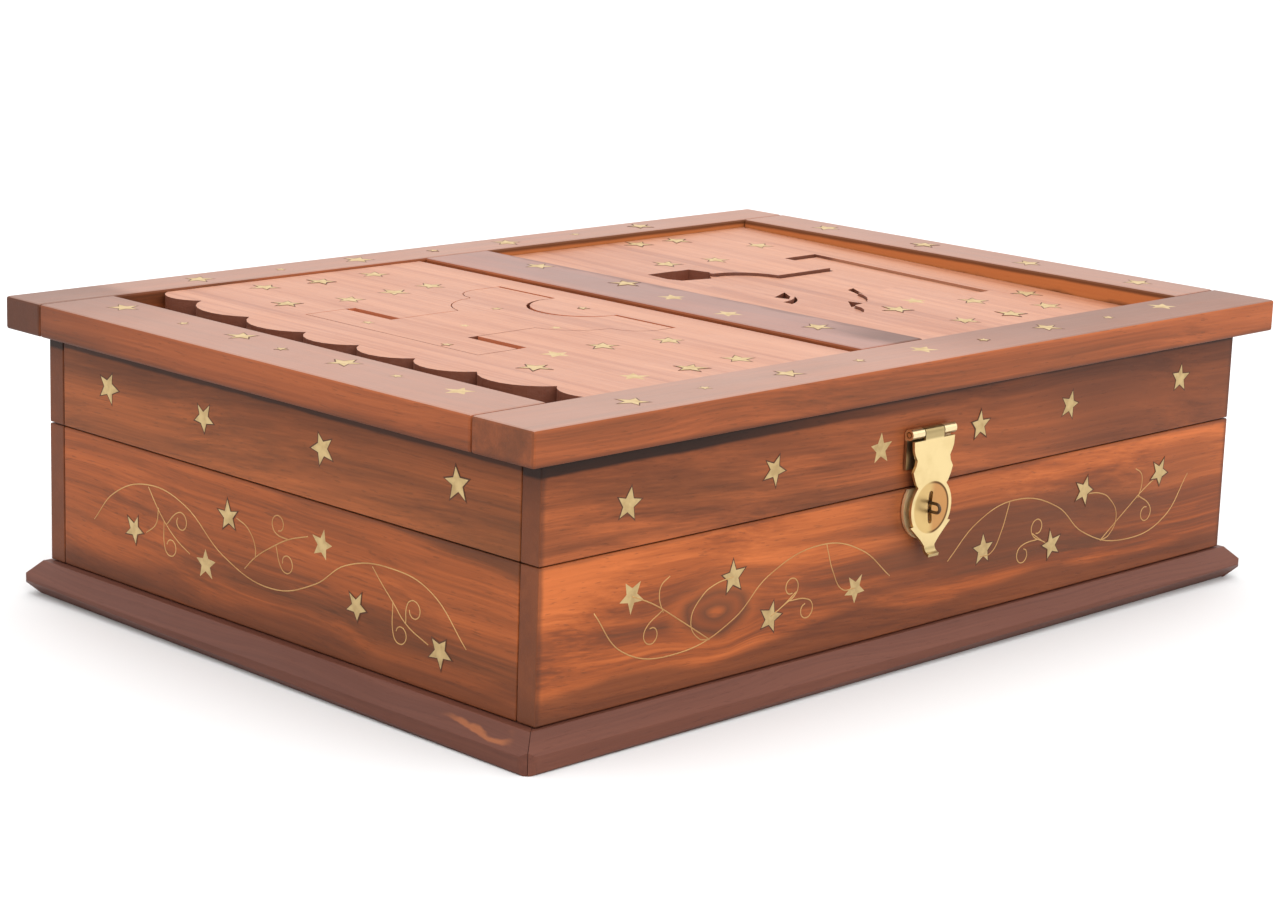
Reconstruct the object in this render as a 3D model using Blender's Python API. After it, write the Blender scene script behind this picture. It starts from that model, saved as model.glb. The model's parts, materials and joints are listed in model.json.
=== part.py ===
"""Wooden puzzle box: hinged lid, two jigsaw panels in the lid, brass hasp.

Metres, +Z up. The origin is the middle of the underside of the plinth.
+X runs along the long side, and the hasp is on the -Y face.
"""

import math

import bmesh
import bpy
from mathutils import Matrix, Vector

MM = 0.001

# ---- overall sizes -------------------------------------------------------
LENGTH = 300 * MM
WIDTH = 214 * MM
HEIGHT = 85 * MM
SPLIT_Z = 49.3 * MM
CLEARANCE = 0.3 * MM
HALF_GAP = CLEARANCE / 2

# ---- top frame -----------------------------------------------------------
FRAME_THICKNESS = 9.2 * MM
FRAME_OVERHANG_X = 9.4 * MM
FRAME_OVERHANG_Y = 7.1 * MM
RAIL_LEFT = 24.6 * MM
RAIL_RIGHT = 19 * MM
RAIL_FRONT = 21.6 * MM
RAIL_BACK = 16 * MM
DIVIDER_X = 2.15 * MM
DIVIDER_WIDTH = 25.3 * MM
FRAME_UNDERSIDE = HEIGHT - FRAME_THICKNESS
BAY_FRONT = -WIDTH / 2 + RAIL_FRONT
BAY_BACK = WIDTH / 2 - RAIL_BACK
LEFT_BAY_START = -LENGTH / 2 + RAIL_LEFT
LEFT_BAY_END = DIVIDER_X - DIVIDER_WIDTH / 2
RIGHT_BAY_START = DIVIDER_X + DIVIDER_WIDTH / 2
RIGHT_BAY_END = LENGTH / 2 - RAIL_RIGHT
BACK_REACH = 5 * MM

# ---- walls, floors and plinth --------------------------------------------
WALL = 6.5 * MM
OUT_X = LENGTH / 2 - FRAME_OVERHANG_X
OUT_Y = WIDTH / 2 - FRAME_OVERHANG_Y
IN_X = OUT_X - WALL
IN_Y = OUT_Y - WALL
PLINTH_HEIGHT = 9.5 * MM
PLINTH_LIP = 4.7 * MM
PLINTH_OUT_X = 7 * MM
PLINTH_OUT_Y = 5 * MM
PLINTH_LEDGE = 0.64
BOTTOM_BOARD_Z = (3 * MM, 7 * MM)
TRAY_FLOOR_Z = (52 * MM, 55 * MM)
PARTITION = 6 * MM
BATTEN_HEIGHT = 8 * MM
BATTEN_REACH = 4.3 * MM
EDGE = 0.7 * MM
SMALL_EDGE = 0.35 * MM

# ---- puzzle panels -------------------------------------------------------
LEFT_PANEL_DROP = 0.8 * MM
RIGHT_PANEL_DROP_BACK = 2.6 * MM
RIGHT_PANEL_DROP_FRONT = 6.2 * MM
RIGHT_PANEL_THICKNESS = 8 * MM
PANEL_SIDE_GAP = 0.4 * MM
LEFT_PANEL_RIGHT_GAP = 2.6 * MM
TONGUE_LENGTH = 4.5 * MM
TONGUE_HALF_WIDTH = 60 * MM
TONGUE_Z = (77.4 * MM, 80 * MM)
GROOVE_PLAY = 0.4 * MM
POCKET_DEPTH = 5.2 * MM
LEAN = (RIGHT_PANEL_DROP_FRONT - RIGHT_PANEL_DROP_BACK) / (BAY_BACK - BAY_FRONT)
BLOCK_PLAY = 1 * MM
BAR_PLAY = 3.4 * MM
RIGHT_SEAM = 0.9 * MM
RIGHT_PIECE_SINK = 0.8 * MM
FINGER_HOLE = 9 * MM
ABOVE = 2 * MM

# Scalloped edge: distance from the left rail to the crests, and the cusps.
SCALLOP_CREST = 5.6 * MM
SCALLOP_BOW = 8.5 * MM
SCALLOP_DEPTH = 6.3 * MM
SCALLOP_MIDDLE = 2 * MM
SCALLOP_REACH = 82 * MM
SCALLOP_BACK_END = 2 * MM
SCALLOP_FRONT_END = 1 * MM
CUSPS = [y * MM for y in (73.9, 46.9, 20.9, -1.1, -23.1, -45.1, -70.1)]

# Jigsaw piece, measured from the bay's own centre line.
KEY_LEFT = -97 * MM
KEY_BAR_RIGHT = -83.2 * MM
KEY_BLOCK_LEFT = -35 * MM
KEY_RIGHT = -24 * MM
KEY_LOWER_RIGHT = -28 * MM
KEY_BAR_HALF = 35 * MM
KEY_WEB_HALF = 15.6 * MM
KEY_HALF = 37.5 * MM
KEY_BITE_X = -27 * MM
KEY_BITE_RADIUS = 15 * MM
KEY_SHOULDER = (-42.5 * MM, 11.6 * MM, 16.6 * MM)
KEY_NECK = (-32.9 * MM, 28.1 * MM, 9.5 * MM)
LEFT_KEY_Y = 6 * MM
RIGHT_KEY_Y = 6.5 * MM
KEY_MIRROR_X = 16 * MM

# Worn gaps in the right-hand piece, as small polygons in X and Y.
RIGHT_CHIPS = [
    [(41.2, 43), (44.9, 35.6), (55.6, 33.4), (59.5, 38), (57.3, 44.7), (46, 44.9)],
    [(46.8, -0.9), (55.4, 2.9), (52, -2.6), (48.8, -5)],
    [(74.5, -11.4), (77.3, -5.6), (78.7, -1.8), (82.5, -0.7), (78, -8.6)],
    [(59, -20.6), (65.1, -14), (67, -20.2)],
]

# ---- brass fittings ------------------------------------------------------
SHEET = 0.8 * MM
SHEET_SINK = 0.05 * MM
HINGE_X = 80 * MM
HINGE_HALF = 12.5 * MM
HINGE_KNUCKLE = 1.7 * MM
HINGE_BORE = 0.9 * MM
HINGE_PIN = 0.65 * MM
HINGE_PIN_HEAD = 1.15 * MM
HINGE_PIN_CAP = 0.5 * MM
HINGE_NECK = 1.15 * MM
HINGE_MIDDLE = 4.5 * MM
HINGE_Y = OUT_Y + CLEARANCE + HINGE_KNUCKLE
LEAF_INNER_Y = IN_Y + 1.3 * MM
SCREW_OFFSET = 8 * MM
SCREW_HEAD = 1.35 * MM
SCREW_SHANK = 0.7 * MM
SCREW_LENGTH = 5.6 * MM

HASP_Z = 64.2 * MM
HASP_KNUCKLE = 1.5 * MM
HASP_BORE = 0.9 * MM
HASP_PIN = 0.6 * MM
HASP_HALF = 9.0 * MM
HASP_MIDDLE = 3.8 * MM
FIXED_LEAF_BOTTOM = 54.6 * MM
PLATE_BACK_Y = -OUT_Y - CLEARANCE
PLATE_FRONT_Y = PLATE_BACK_Y - SHEET
HASP_Y = PLATE_BACK_Y - HASP_KNUCKLE + SHEET_SINK
LEAF_FRONT_Y = HASP_Y - HASP_KNUCKLE + SHEET_SINK
LEAF_BACK_Y = LEAF_FRONT_Y + SHEET
LEAF_TONGUE_BOTTOM = 59.6 * MM
DISC_Z = 43.6 * MM
DISC_RADIUS = 8.3 * MM
DISH_RADIUS = 7.5 * MM
DISH_FLOOR_RADIUS = 7.0 * MM
DISH_RIM = 0.4 * MM
DISH_DEPTH = 0.7 * MM
SLOT_HALF_WIDTH = 0.8 * MM
SLOT_HALF_HEIGHT = 4.5 * MM
BACKPLATE_RADIUS = 9 * MM
STAPLE_WIRE = 0.45 * MM
STAPLE_LOOP = 1.2 * MM
STAPLE_LOOP_Y = -104.8 * MM
CURL_RADIUS = 2 * MM
CURL_HALF_WIDTH = 2.1 * MM
CURL_Z = 33.2 * MM
CURL_DEGREES = 80
CURL_ROOT = 0.5 * MM
NAIL_HEAD = 1.2 * MM
NAIL_CROWN = 0.95 * MM
NAIL_HEAD_HEIGHT = 0.5 * MM
NAIL_SHANK = 0.5 * MM
NAIL_LENGTH = 4.5 * MM
LEAF_NAIL_X = 5 * MM
LEAF_NAIL_Z = 58 * MM
PLATE_NAIL_X = 6 * MM
THROUGH = 3 * MM

# Half widths of the swinging leaf at heights, from the knuckles to the disc.
LEAF_NECK = [(8.3, 62.4), (8.1, 60), (7.6, 58.7), (6.7, 57.2), (7.1, 55.6), (8.1, 54), (7.3, 51.9),
             (6.5, 50.4)]
# And from the disc down to the curled tail.
LEAF_TAIL = [(7, 39.2), (8.2, 39), (5.9, 37), (3.8, 35.1), (2.1, 33.2)]

COLORS = {
    "frame": (0.36, 0.12, 0.05),
    "wall": (0.33, 0.1, 0.035),
    "plinth": (0.17, 0.045, 0.025),
    "panel": (0.47, 0.21, 0.12),
    "board": (0.42, 0.24, 0.12),
    "brass": (0.78, 0.57, 0.2),
}


def material(kind):
    """Return the Principled material of one kind of piece."""
    name = kind + "_finish"
    found = bpy.data.materials.get(name)
    if found:
        return found
    made = bpy.data.materials.new(name)
    made.use_nodes = True
    shader = made.node_tree.nodes["Principled BSDF"]
    shader.inputs["Base Color"].default_value = (*COLORS[kind], 1)
    metal = kind == "brass"
    shader.inputs["Metallic"].default_value = 1.0 if metal else 0.0
    shader.inputs["Roughness"].default_value = 0.28 if metal else 0.42
    return made


def link(name, mesh, kind, location=(0, 0, 0), pivot=None):
    """Make an object, under its joint's empty if it moves."""
    thing = bpy.data.objects.new(name, mesh)
    bpy.context.collection.objects.link(thing)
    mesh.materials.append(material(kind))
    thing.location = Vector(location)
    if pivot is not None:
        thing.parent = pivot
        thing.location -= pivot.location
    return thing


def pivot_at(name, location):
    """Make the empty that stands on a joint's axis."""
    empty = bpy.data.objects.new(name, None)
    bpy.context.collection.objects.link(empty)
    empty.location = Vector(location)
    return empty


def finish_mesh(name, shape, smooth=False):
    """Turn a bmesh into mesh data with its faces pointing out."""
    bmesh.ops.recalc_face_normals(shape, faces=shape.faces)
    mesh = bpy.data.meshes.new(name)
    shape.to_mesh(mesh)
    shape.free()
    if smooth:
        mesh.shade_smooth()
        mesh.set_sharp_from_angle(angle=math.radians(35))
    return mesh


def cuboid_mesh(name, low, high):
    """A box centred on its own origin, and where that origin stands."""
    low, high = Vector(low), Vector(high)
    shape = bmesh.new()
    bmesh.ops.create_cube(shape, size=1)
    bmesh.ops.scale(shape, vec=high - low, verts=shape.verts)
    return finish_mesh(name, shape), (low + high) / 2


def placed_cuboid(name, low, high):
    """A box whose corners already stand where they belong."""
    mesh, centre = cuboid_mesh(name, low, high)
    mesh.transform(Matrix.Translation(centre))
    return mesh


def board(name, low, high, kind, pivot=None, edge=EDGE):
    """A plain board with softened edges."""
    mesh, centre = cuboid_mesh(name, low, high)
    thing = link(name, mesh, kind, centre, pivot)
    bevel = thing.modifiers.new("soft_edges", "BEVEL")
    bevel.width = edge
    bevel.segments = 2
    return thing


def prism_mesh(name, outline, low, high):
    """An outline in X and Y raised from one height to another."""
    shape = bmesh.new()
    corners = [shape.verts.new((x, y, low)) for x, y in outline]
    base = shape.faces.new(corners)
    raised = bmesh.ops.extrude_face_region(shape, geom=[base])
    top = [item for item in raised["geom"] if isinstance(item, bmesh.types.BMVert)]
    bmesh.ops.translate(shape, verts=top, vec=(0, 0, high - low))
    return finish_mesh(name, shape)


def upright_mesh(name, outline, back, front):
    """An outline in X and Z, as a sheet standing between two Y values."""
    mesh = prism_mesh(name, outline, -back, -front)
    mesh.transform(Matrix.Rotation(math.radians(90), 4, "X"))
    return mesh


def turned_mesh(name, profile, steps, turn=None, place=(0, 0, 0)):
    """A profile of (radius, height) pairs spun about Z, turned and placed."""
    shape = bmesh.new()
    points = [shape.verts.new((radius, 0, height)) for radius, height in profile]
    edges = [shape.edges.new(pair) for pair in zip(points, points[1:])]
    bmesh.ops.spin(shape, geom=points + edges, cent=(0, 0, 0), axis=(0, 0, 1),
                   angle=math.tau, steps=steps)
    bmesh.ops.remove_doubles(shape, verts=shape.verts, dist=0.001 * MM)
    mesh = finish_mesh(name, shape, smooth=True)
    if turn is not None:
        mesh.transform(turn)
    mesh.transform(Matrix.Translation(place))
    return mesh


def rod_mesh(name, radius, start, end, steps=16):
    """A plain round rod between two points on one axis."""
    start, end = Vector(start), Vector(end)
    along = end - start
    turn = Vector((0, 0, 1)).rotation_difference(along).to_matrix().to_4x4()
    profile = [(0, 0), (radius, 0), (radius, along.length), (0, along.length)]
    return turned_mesh(name, profile, steps, turn, start)


def helper(mesh, pivot=None):
    """Make a hidden object that cuts or joins another."""
    thing = bpy.data.objects.new(mesh.name + "_tool", mesh)
    bpy.context.collection.objects.link(thing)
    thing.hide_render = True
    thing.display_type = "WIRE"
    if pivot is not None:
        thing.parent = pivot
        thing.location = -pivot.location
    return thing


def combine(thing, mesh, operation):
    """Add one exact Boolean to an object."""
    step = thing.modifiers.new(mesh.name, "BOOLEAN")
    step.operation = operation
    step.solver = "EXACT"
    step.object = helper(mesh, thing.parent)


def cut(thing, mesh):
    """Take a shape out of an object."""
    combine(thing, mesh, "DIFFERENCE")


def join(thing, mesh):
    """Add a shape to an object."""
    combine(thing, mesh, "UNION")


def cut_box(thing, low, high):
    """Take a box out of an object."""
    cut(thing, placed_cuboid(thing.name + "_cut", low, high))


def join_box(thing, low, high):
    """Add a box to an object."""
    join(thing, placed_cuboid(thing.name + "_join", low, high))


def arc(centre, radius, start, end, steps):
    """Points on a circle between two angles in degrees."""
    points = []
    for step in range(steps + 1):
        angle = math.radians(start + (end - start) * step / steps)
        points.append((centre[0] + radius * math.cos(angle), centre[1] + radius * math.sin(angle)))
    return points


def bulge(start, end, sagitta, steps):
    """Points on the arc that leaves its chord by a sagitta, to the left."""
    start, end = Vector(start), Vector(end)
    chord = end - start
    radius = (chord.length / 2) ** 2 / (2 * sagitta) + sagitta / 2
    normal = Vector((-chord.y, chord.x)).normalized()
    centre = (start + end) / 2 + normal * (sagitta - radius)
    first = math.degrees(math.atan2(start.y - centre.y, start.x - centre.x))
    last = math.degrees(math.atan2(end.y - centre.y, end.x - centre.x))
    if last > first:
        last -= 360
    return arc(centre, radius, first, last, steps)


def widened(outline, amount):
    """An anticlockwise outline moved out by an even amount."""
    moved = []
    for index, point in enumerate(outline):
        here = Vector(point)
        before = (here - Vector(outline[index - 1])).normalized()
        after = (Vector(outline[(index + 1) % len(outline)]) - here).normalized()
        middle = Vector((before.y + after.y, -before.x - after.x)).normalized()
        spread = max(0.3, middle.dot(Vector((before.y, -before.x))))
        moved.append(tuple(here + middle * amount / spread))
    return moved


# ---- outlines ------------------------------------------------------------
def key_side(right):
    """Upper half of the jigsaw piece, from its right side to its left."""
    bite_end = math.degrees(math.asin((right - KEY_BITE_X) / KEY_BITE_RADIUS))
    points = arc((KEY_BITE_X, 0), KEY_BITE_RADIUS, 180, 90 - bite_end, 9)
    points += [(right, KEY_HALF)]
    points += arc(KEY_NECK[:2], KEY_NECK[2], 100, 176, 4)
    points += arc(KEY_SHOULDER[:2], KEY_SHOULDER[2], 92, 166, 6)
    points += [(KEY_BAR_RIGHT, KEY_WEB_HALF), (KEY_BAR_RIGHT, KEY_BAR_HALF), (KEY_LEFT, KEY_BAR_HALF)]
    return points


def key_outline():
    """Whole jigsaw piece about its own centre line, anticlockwise."""
    lower = [(x, -y) for x, y in key_side(KEY_LOWER_RIGHT)[1:]]
    return key_side(KEY_RIGHT) + lower[::-1]


def left_key_outline():
    """The piece where it lies in the left bay."""
    return [(x, y + LEFT_KEY_Y) for x, y in key_outline()]


def right_key_outline():
    """The same piece turned over for the other bay."""
    return [(KEY_MIRROR_X - x, y + RIGHT_KEY_Y) for x, y in key_outline()][::-1]


def crest_x(y):
    """Where a crest of the scalloped edge stands at one place along it."""
    bow = (abs(y - SCALLOP_MIDDLE) / SCALLOP_REACH) ** 3
    return LEFT_BAY_START + SCALLOP_CREST + SCALLOP_BOW * bow


def scalloped_edge(front, back):
    """Points of the panel's left edge, from the back rail to the front rail."""
    cusps = [(crest_x(y) + SCALLOP_DEPTH, y) for y in CUSPS]
    ends = [(crest_x(back) + SCALLOP_BACK_END, back), *cusps, (crest_x(front) - SCALLOP_FRONT_END, front)]
    points = [ends[0]]
    for start, end in zip(ends, ends[1:]):
        middle = (start[1] + end[1]) / 2
        sagitta = (start[0] + end[0]) / 2 - crest_x(middle)
        lobe = bulge(start, end, -sagitta, 8) if sagitta < 0 else bulge(end, start, sagitta, 8)[::-1]
        points += lobe[1:]
    return points


# ---- base ----------------------------------------------------------------
def plinth_piece(name, side, along_x):
    """One mitred moulding of the plinth: 'side' is +1 or -1 on its axis."""
    reach_x, reach_y = WALL + PLINTH_OUT_X, WALL + PLINTH_OUT_Y
    profile = [(0, 0), (1, 0), (1, PLINTH_LIP), (PLINTH_LEDGE, PLINTH_HEIGHT), (0, PLINTH_HEIGHT)]
    shape = bmesh.new()
    rings = []
    for end in (-1, 1):
        ring = []
        for outward, height in profile:
            x, y = IN_X + outward * reach_x, IN_Y + outward * reach_y
            if along_x:
                point = (end * (x - HALF_GAP), side * y, height)
            else:
                point = (side * x, end * (y - HALF_GAP), height)
            ring.append(shape.verts.new(point))
        rings.append(ring)
        shape.faces.new(ring)
    for index in range(len(profile)):
        following = (index + 1) % len(profile)
        near, far = (rings[0][index], rings[0][following]), (rings[1][following], rings[1][index])
        shape.faces.new((*near, *far))
    thing = link(name, finish_mesh(name, shape), "plinth")
    bevel = thing.modifiers.new("soft_edges", "BEVEL")
    bevel.width = SMALL_EDGE
    bevel.segments = 2
    return thing


def four_walls(prefix, low, high, pivot=None):
    """Long boards run the full length, and short boards stand between."""
    between = IN_Y - CLEARANCE
    walls = {}
    for side, name in ((-1, "front"), (1, "back")):
        near, far = sorted((side * OUT_Y, side * IN_Y))
        walls[name] = board(f"{prefix}_wall_{name}", (-OUT_X, near, low), (OUT_X, far, high), "wall",
                            pivot, SMALL_EDGE)
    for side, name in ((-1, "left"), (1, "right")):
        near, far = sorted((side * OUT_X, side * IN_X))
        walls[name] = board(f"{prefix}_wall_{name}", (near, -between, low), (far, between, high), "wall",
                            pivot, SMALL_EDGE)
    return walls


def build_base():
    """Plinth, bottom board and the four walls of the lower box."""
    plinth_piece("plinth_front", -1, True)
    plinth_piece("plinth_back", 1, True)
    plinth_piece("plinth_left", -1, False)
    plinth_piece("plinth_right", 1, False)
    inner_x, inner_y = IN_X - CLEARANCE, IN_Y - CLEARANCE
    board("bottom_board", (-inner_x, -inner_y, BOTTOM_BOARD_Z[0]), (inner_x, inner_y, BOTTOM_BOARD_Z[1]),
          "board", edge=SMALL_EDGE)
    return four_walls("base", PLINTH_HEIGHT + CLEARANCE, SPLIT_Z - HALF_GAP)


# ---- lid -----------------------------------------------------------------
def build_frame(pivot):
    """Top frame: two long rails, two short rails and a divider between them."""
    end_x, end_y = LENGTH / 2, WIDTH / 2
    low, high = FRAME_UNDERSIDE, HEIGHT
    front, back = BAY_FRONT + CLEARANCE, BAY_BACK - CLEARANCE
    board("frame_rail_front", (-end_x, -end_y, low), (end_x, BAY_FRONT, high), "frame", pivot)
    board("frame_rail_back", (-end_x, BAY_BACK, low), (end_x, end_y, high), "frame", pivot)
    board("frame_rail_left", (-end_x, front, low), (LEFT_BAY_START, back, high), "frame", pivot)
    board("frame_rail_right", (RIGHT_BAY_END, front, low), (end_x, back, high), "frame", pivot)
    divider = board("frame_divider", (LEFT_BAY_END, front, low), (RIGHT_BAY_START, back, high), "frame",
                    pivot)
    groove_half = TONGUE_HALF_WIDTH + GROOVE_PLAY
    cut_box(divider, (LEFT_BAY_END - TONGUE_LENGTH, -groove_half, TONGUE_Z[0] - GROOVE_PLAY),
            (LEFT_BAY_END + TONGUE_LENGTH, groove_half, TONGUE_Z[1] + GROOVE_PLAY))


def build_trays(pivot):
    """Floor of the two hidden trays, their partition and the panel battens."""
    inner_x, inner_y = IN_X - CLEARANCE, IN_Y - CLEARANCE
    board("tray_floor", (-inner_x, -inner_y, TRAY_FLOOR_Z[0]), (inner_x, inner_y, TRAY_FLOOR_Z[1]),
          "board", pivot, SMALL_EDGE)
    left, right = DIVIDER_X - PARTITION / 2, DIVIDER_X + PARTITION / 2
    board("tray_partition", (left, -inner_y, TRAY_FLOOR_Z[1] + CLEARANCE),
          (right, inner_y, FRAME_UNDERSIDE - CLEARANCE), "board", pivot, SMALL_EDGE)
    left_top = FRAME_UNDERSIDE - CLEARANCE
    front_drop, back_drop = RIGHT_PANEL_DROP_FRONT, RIGHT_PANEL_DROP_BACK + LEAN * BATTEN_REACH
    right_tops = [HEIGHT - drop - RIGHT_PANEL_THICKNESS - CLEARANCE for drop in (front_drop, back_drop)]
    bays = (("left", -inner_x, left - CLEARANCE, (left_top, left_top)),
            ("right", right + CLEARANCE, inner_x, right_tops))
    for bay, start, end, (front_top, back_top) in bays:
        board(f"{bay}_batten_front", (start, -inner_y, front_top - BATTEN_HEIGHT),
              (end, BAY_FRONT + BATTEN_REACH, front_top), "board", pivot, SMALL_EDGE)
        board(f"{bay}_batten_back", (start, BAY_BACK - BATTEN_REACH, back_top - BATTEN_HEIGHT),
              (end, inner_y, back_top), "board", pivot, SMALL_EDGE)


# ---- puzzle panels -------------------------------------------------------
def pocket_meshes(name, outline, floor, top, shift):
    """Two cutters for a jigsaw pocket, the second moved by the piece's play."""
    wide = widened(outline, CLEARANCE)
    meshes = []
    for number, (shift_x, shift_y) in enumerate(((0, 0), shift)):
        moved = [(x + shift_x, y + shift_y) for x, y in wide]
        meshes.append(prism_mesh(f"{name}_pocket_{number}", moved, floor, top + ABOVE))
    return meshes


def build_left_panels(panel_pivot, key_pivot):
    """Sliding panel with its scalloped edge and tongue, and its jigsaw piece."""
    front, back = BAY_FRONT + PANEL_SIDE_GAP, BAY_BACK - PANEL_SIDE_GAP
    right = LEFT_BAY_END - LEFT_PANEL_RIGHT_GAP
    top = HEIGHT - LEFT_PANEL_DROP
    floor = top - POCKET_DEPTH
    outline = scalloped_edge(front, back) + [(right, front), (right, back)]
    panel = link("left_sliding_panel", prism_mesh("left_sliding_panel", outline, FRAME_UNDERSIDE, top),
                 "panel", pivot=panel_pivot)
    join_box(panel, (right - TONGUE_LENGTH, -TONGUE_HALF_WIDTH, TONGUE_Z[0]),
             (right + TONGUE_LENGTH, TONGUE_HALF_WIDTH, TONGUE_Z[1]))
    for mesh in pocket_meshes("left", left_key_outline(), floor, top, (BLOCK_PLAY, 0)):
        cut(panel, mesh)
    for side in (-1, 1):
        near, far = sorted(LEFT_KEY_Y + side * half for half in (KEY_WEB_HALF + CLEARANCE, KEY_BAR_HALF))
        cut_box(panel, (KEY_BAR_RIGHT - BLOCK_PLAY, near, floor + HALF_GAP),
                (KEY_BAR_RIGHT + BAR_PLAY, far, top + ABOVE))
    hole_x = (KEY_BAR_RIGHT + KEY_BLOCK_LEFT) / 2
    cut(panel, rod_mesh("left_finger_hole", FINGER_HOLE, (hole_x, LEFT_KEY_Y, FRAME_UNDERSIDE - ABOVE),
                        (hole_x, LEFT_KEY_Y, top + ABOVE)))
    mesh = prism_mesh("left_jigsaw_piece", left_key_outline(), floor + CLEARANCE, top)
    link("left_jigsaw_piece", mesh, "panel", pivot=key_pivot)


def leaning(mesh):
    """Lower a mesh towards the front, as the right-hand panel lies in its bay."""
    lean = Matrix.Identity(4)
    lean[2][1] = LEAN
    lean[2][3] = -LEAN * BAY_BACK
    mesh.transform(lean)
    return mesh


def build_right_panels(panel_pivot, key_pivot):
    """Sunken lift-out panel and its jigsaw piece, both leaning to the front."""
    low = (RIGHT_BAY_START + PANEL_SIDE_GAP, BAY_FRONT + PANEL_SIDE_GAP)
    high = (RIGHT_BAY_END - PANEL_SIDE_GAP, BAY_BACK - PANEL_SIDE_GAP)
    top = HEIGHT - RIGHT_PANEL_DROP_BACK
    bottom = top - RIGHT_PANEL_THICKNESS
    floor = top - POCKET_DEPTH
    slab = placed_cuboid("right_lift_out_panel", (*low, bottom), (*high, top))
    panel = link("right_lift_out_panel", leaning(slab), "panel", pivot=panel_pivot)
    for mesh in pocket_meshes("right", right_key_outline(), floor, top, (0, RIGHT_SEAM)):
        cut(panel, leaning(mesh))
    hole_x = KEY_MIRROR_X - (KEY_BAR_RIGHT + KEY_BLOCK_LEFT) / 2
    hole = rod_mesh("right_finger_hole", FINGER_HOLE, (hole_x, RIGHT_KEY_Y, bottom - ABOVE),
                    (hole_x, RIGHT_KEY_Y, top + ABOVE))
    cut(panel, leaning(hole))
    mesh = prism_mesh("right_jigsaw_piece", right_key_outline(), floor + CLEARANCE, top - RIGHT_PIECE_SINK)
    key = link("right_jigsaw_piece", leaning(mesh), "panel", pivot=key_pivot)
    for number, chip in enumerate(RIGHT_CHIPS):
        corners = [(x * MM, y * MM) for x, y in chip]
        for thing, below in ((panel, HALF_GAP), (key, CLEARANCE)):
            chip_mesh = prism_mesh(f"{thing.name}_chip_{number}", corners, floor - below, top + ABOVE)
            cut(thing, leaning(chip_mesh))


# ---- back hinges ---------------------------------------------------------
def hinge_leaf(name, x, up, middle, pivot):
    """A leaf let into the joint: 'up' is +1 for the lid's and -1 for the base's."""
    near, far = sorted((SPLIT_Z + up * HALF_GAP, SPLIT_Z + up * (HALF_GAP + SHEET)))
    mesh, centre = cuboid_mesh(name, (x - HINGE_HALF, LEAF_INNER_Y, near),
                               (x + HINGE_HALF, OUT_Y - CLEARANCE, far))
    leaf = link(name, mesh, "brass", centre, pivot)
    inner = HINGE_MIDDLE + CLEARANCE
    spans = [(-HINGE_MIDDLE, HINGE_MIDDLE)] if middle else [(-HINGE_HALF, -inner), (inner, HINGE_HALF)]
    for start, end in spans:
        join_box(leaf, (x + start, OUT_Y - WALL / 2, near), (x + end, HINGE_Y - HINGE_NECK, far))
        join(leaf, rod_mesh(name + "_knuckle", HINGE_KNUCKLE, (x + start, HINGE_Y, SPLIT_Z),
                            (x + end, HINGE_Y, SPLIT_Z)))
    cut(leaf, rod_mesh(name + "_bore", HINGE_BORE, (x - 2 * HINGE_HALF, HINGE_Y, SPLIT_Z),
                       (x + 2 * HINGE_HALF, HINGE_Y, SPLIT_Z)))
    return leaf


def fit_screws(name, leaf, wall, x, up, pivot):
    """Two countersunk screws through a leaf, with their holes."""
    y = (LEAF_INNER_Y + OUT_Y) / 2
    top = SPLIT_Z + up * HALF_GAP
    turn = Matrix.Rotation(math.radians(180 if up > 0 else 0), 4, "X")
    profile = [(0, -SHEET_SINK), (SCREW_HEAD, -SHEET_SINK), (SCREW_SHANK, -SHEET),
               (SCREW_SHANK, -SCREW_LENGTH), (0, -SCREW_LENGTH - SCREW_SHANK)]
    wide, narrow = SCREW_HEAD + CLEARANCE, SCREW_SHANK + CLEARANCE
    deep = SCREW_LENGTH + 2 * CLEARANCE
    hole = [(0, ABOVE), (wide, ABOVE), (wide, SHEET_SINK), (narrow, -SHEET - SHEET_SINK), (narrow, -deep),
            (0, -deep - SCREW_SHANK)]
    for number, offset in enumerate((-SCREW_OFFSET, SCREW_OFFSET), 1):
        place = (x + offset, y, top)
        link(f"{name}_{number}", turned_mesh(name, profile, 12, turn, place), "brass", pivot=pivot)
        cut(leaf, turned_mesh(name + "_hole", hole, 12, turn, place))
        cut(wall, turned_mesh(name + "_wall_hole", hole, 12, turn, place))


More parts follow.
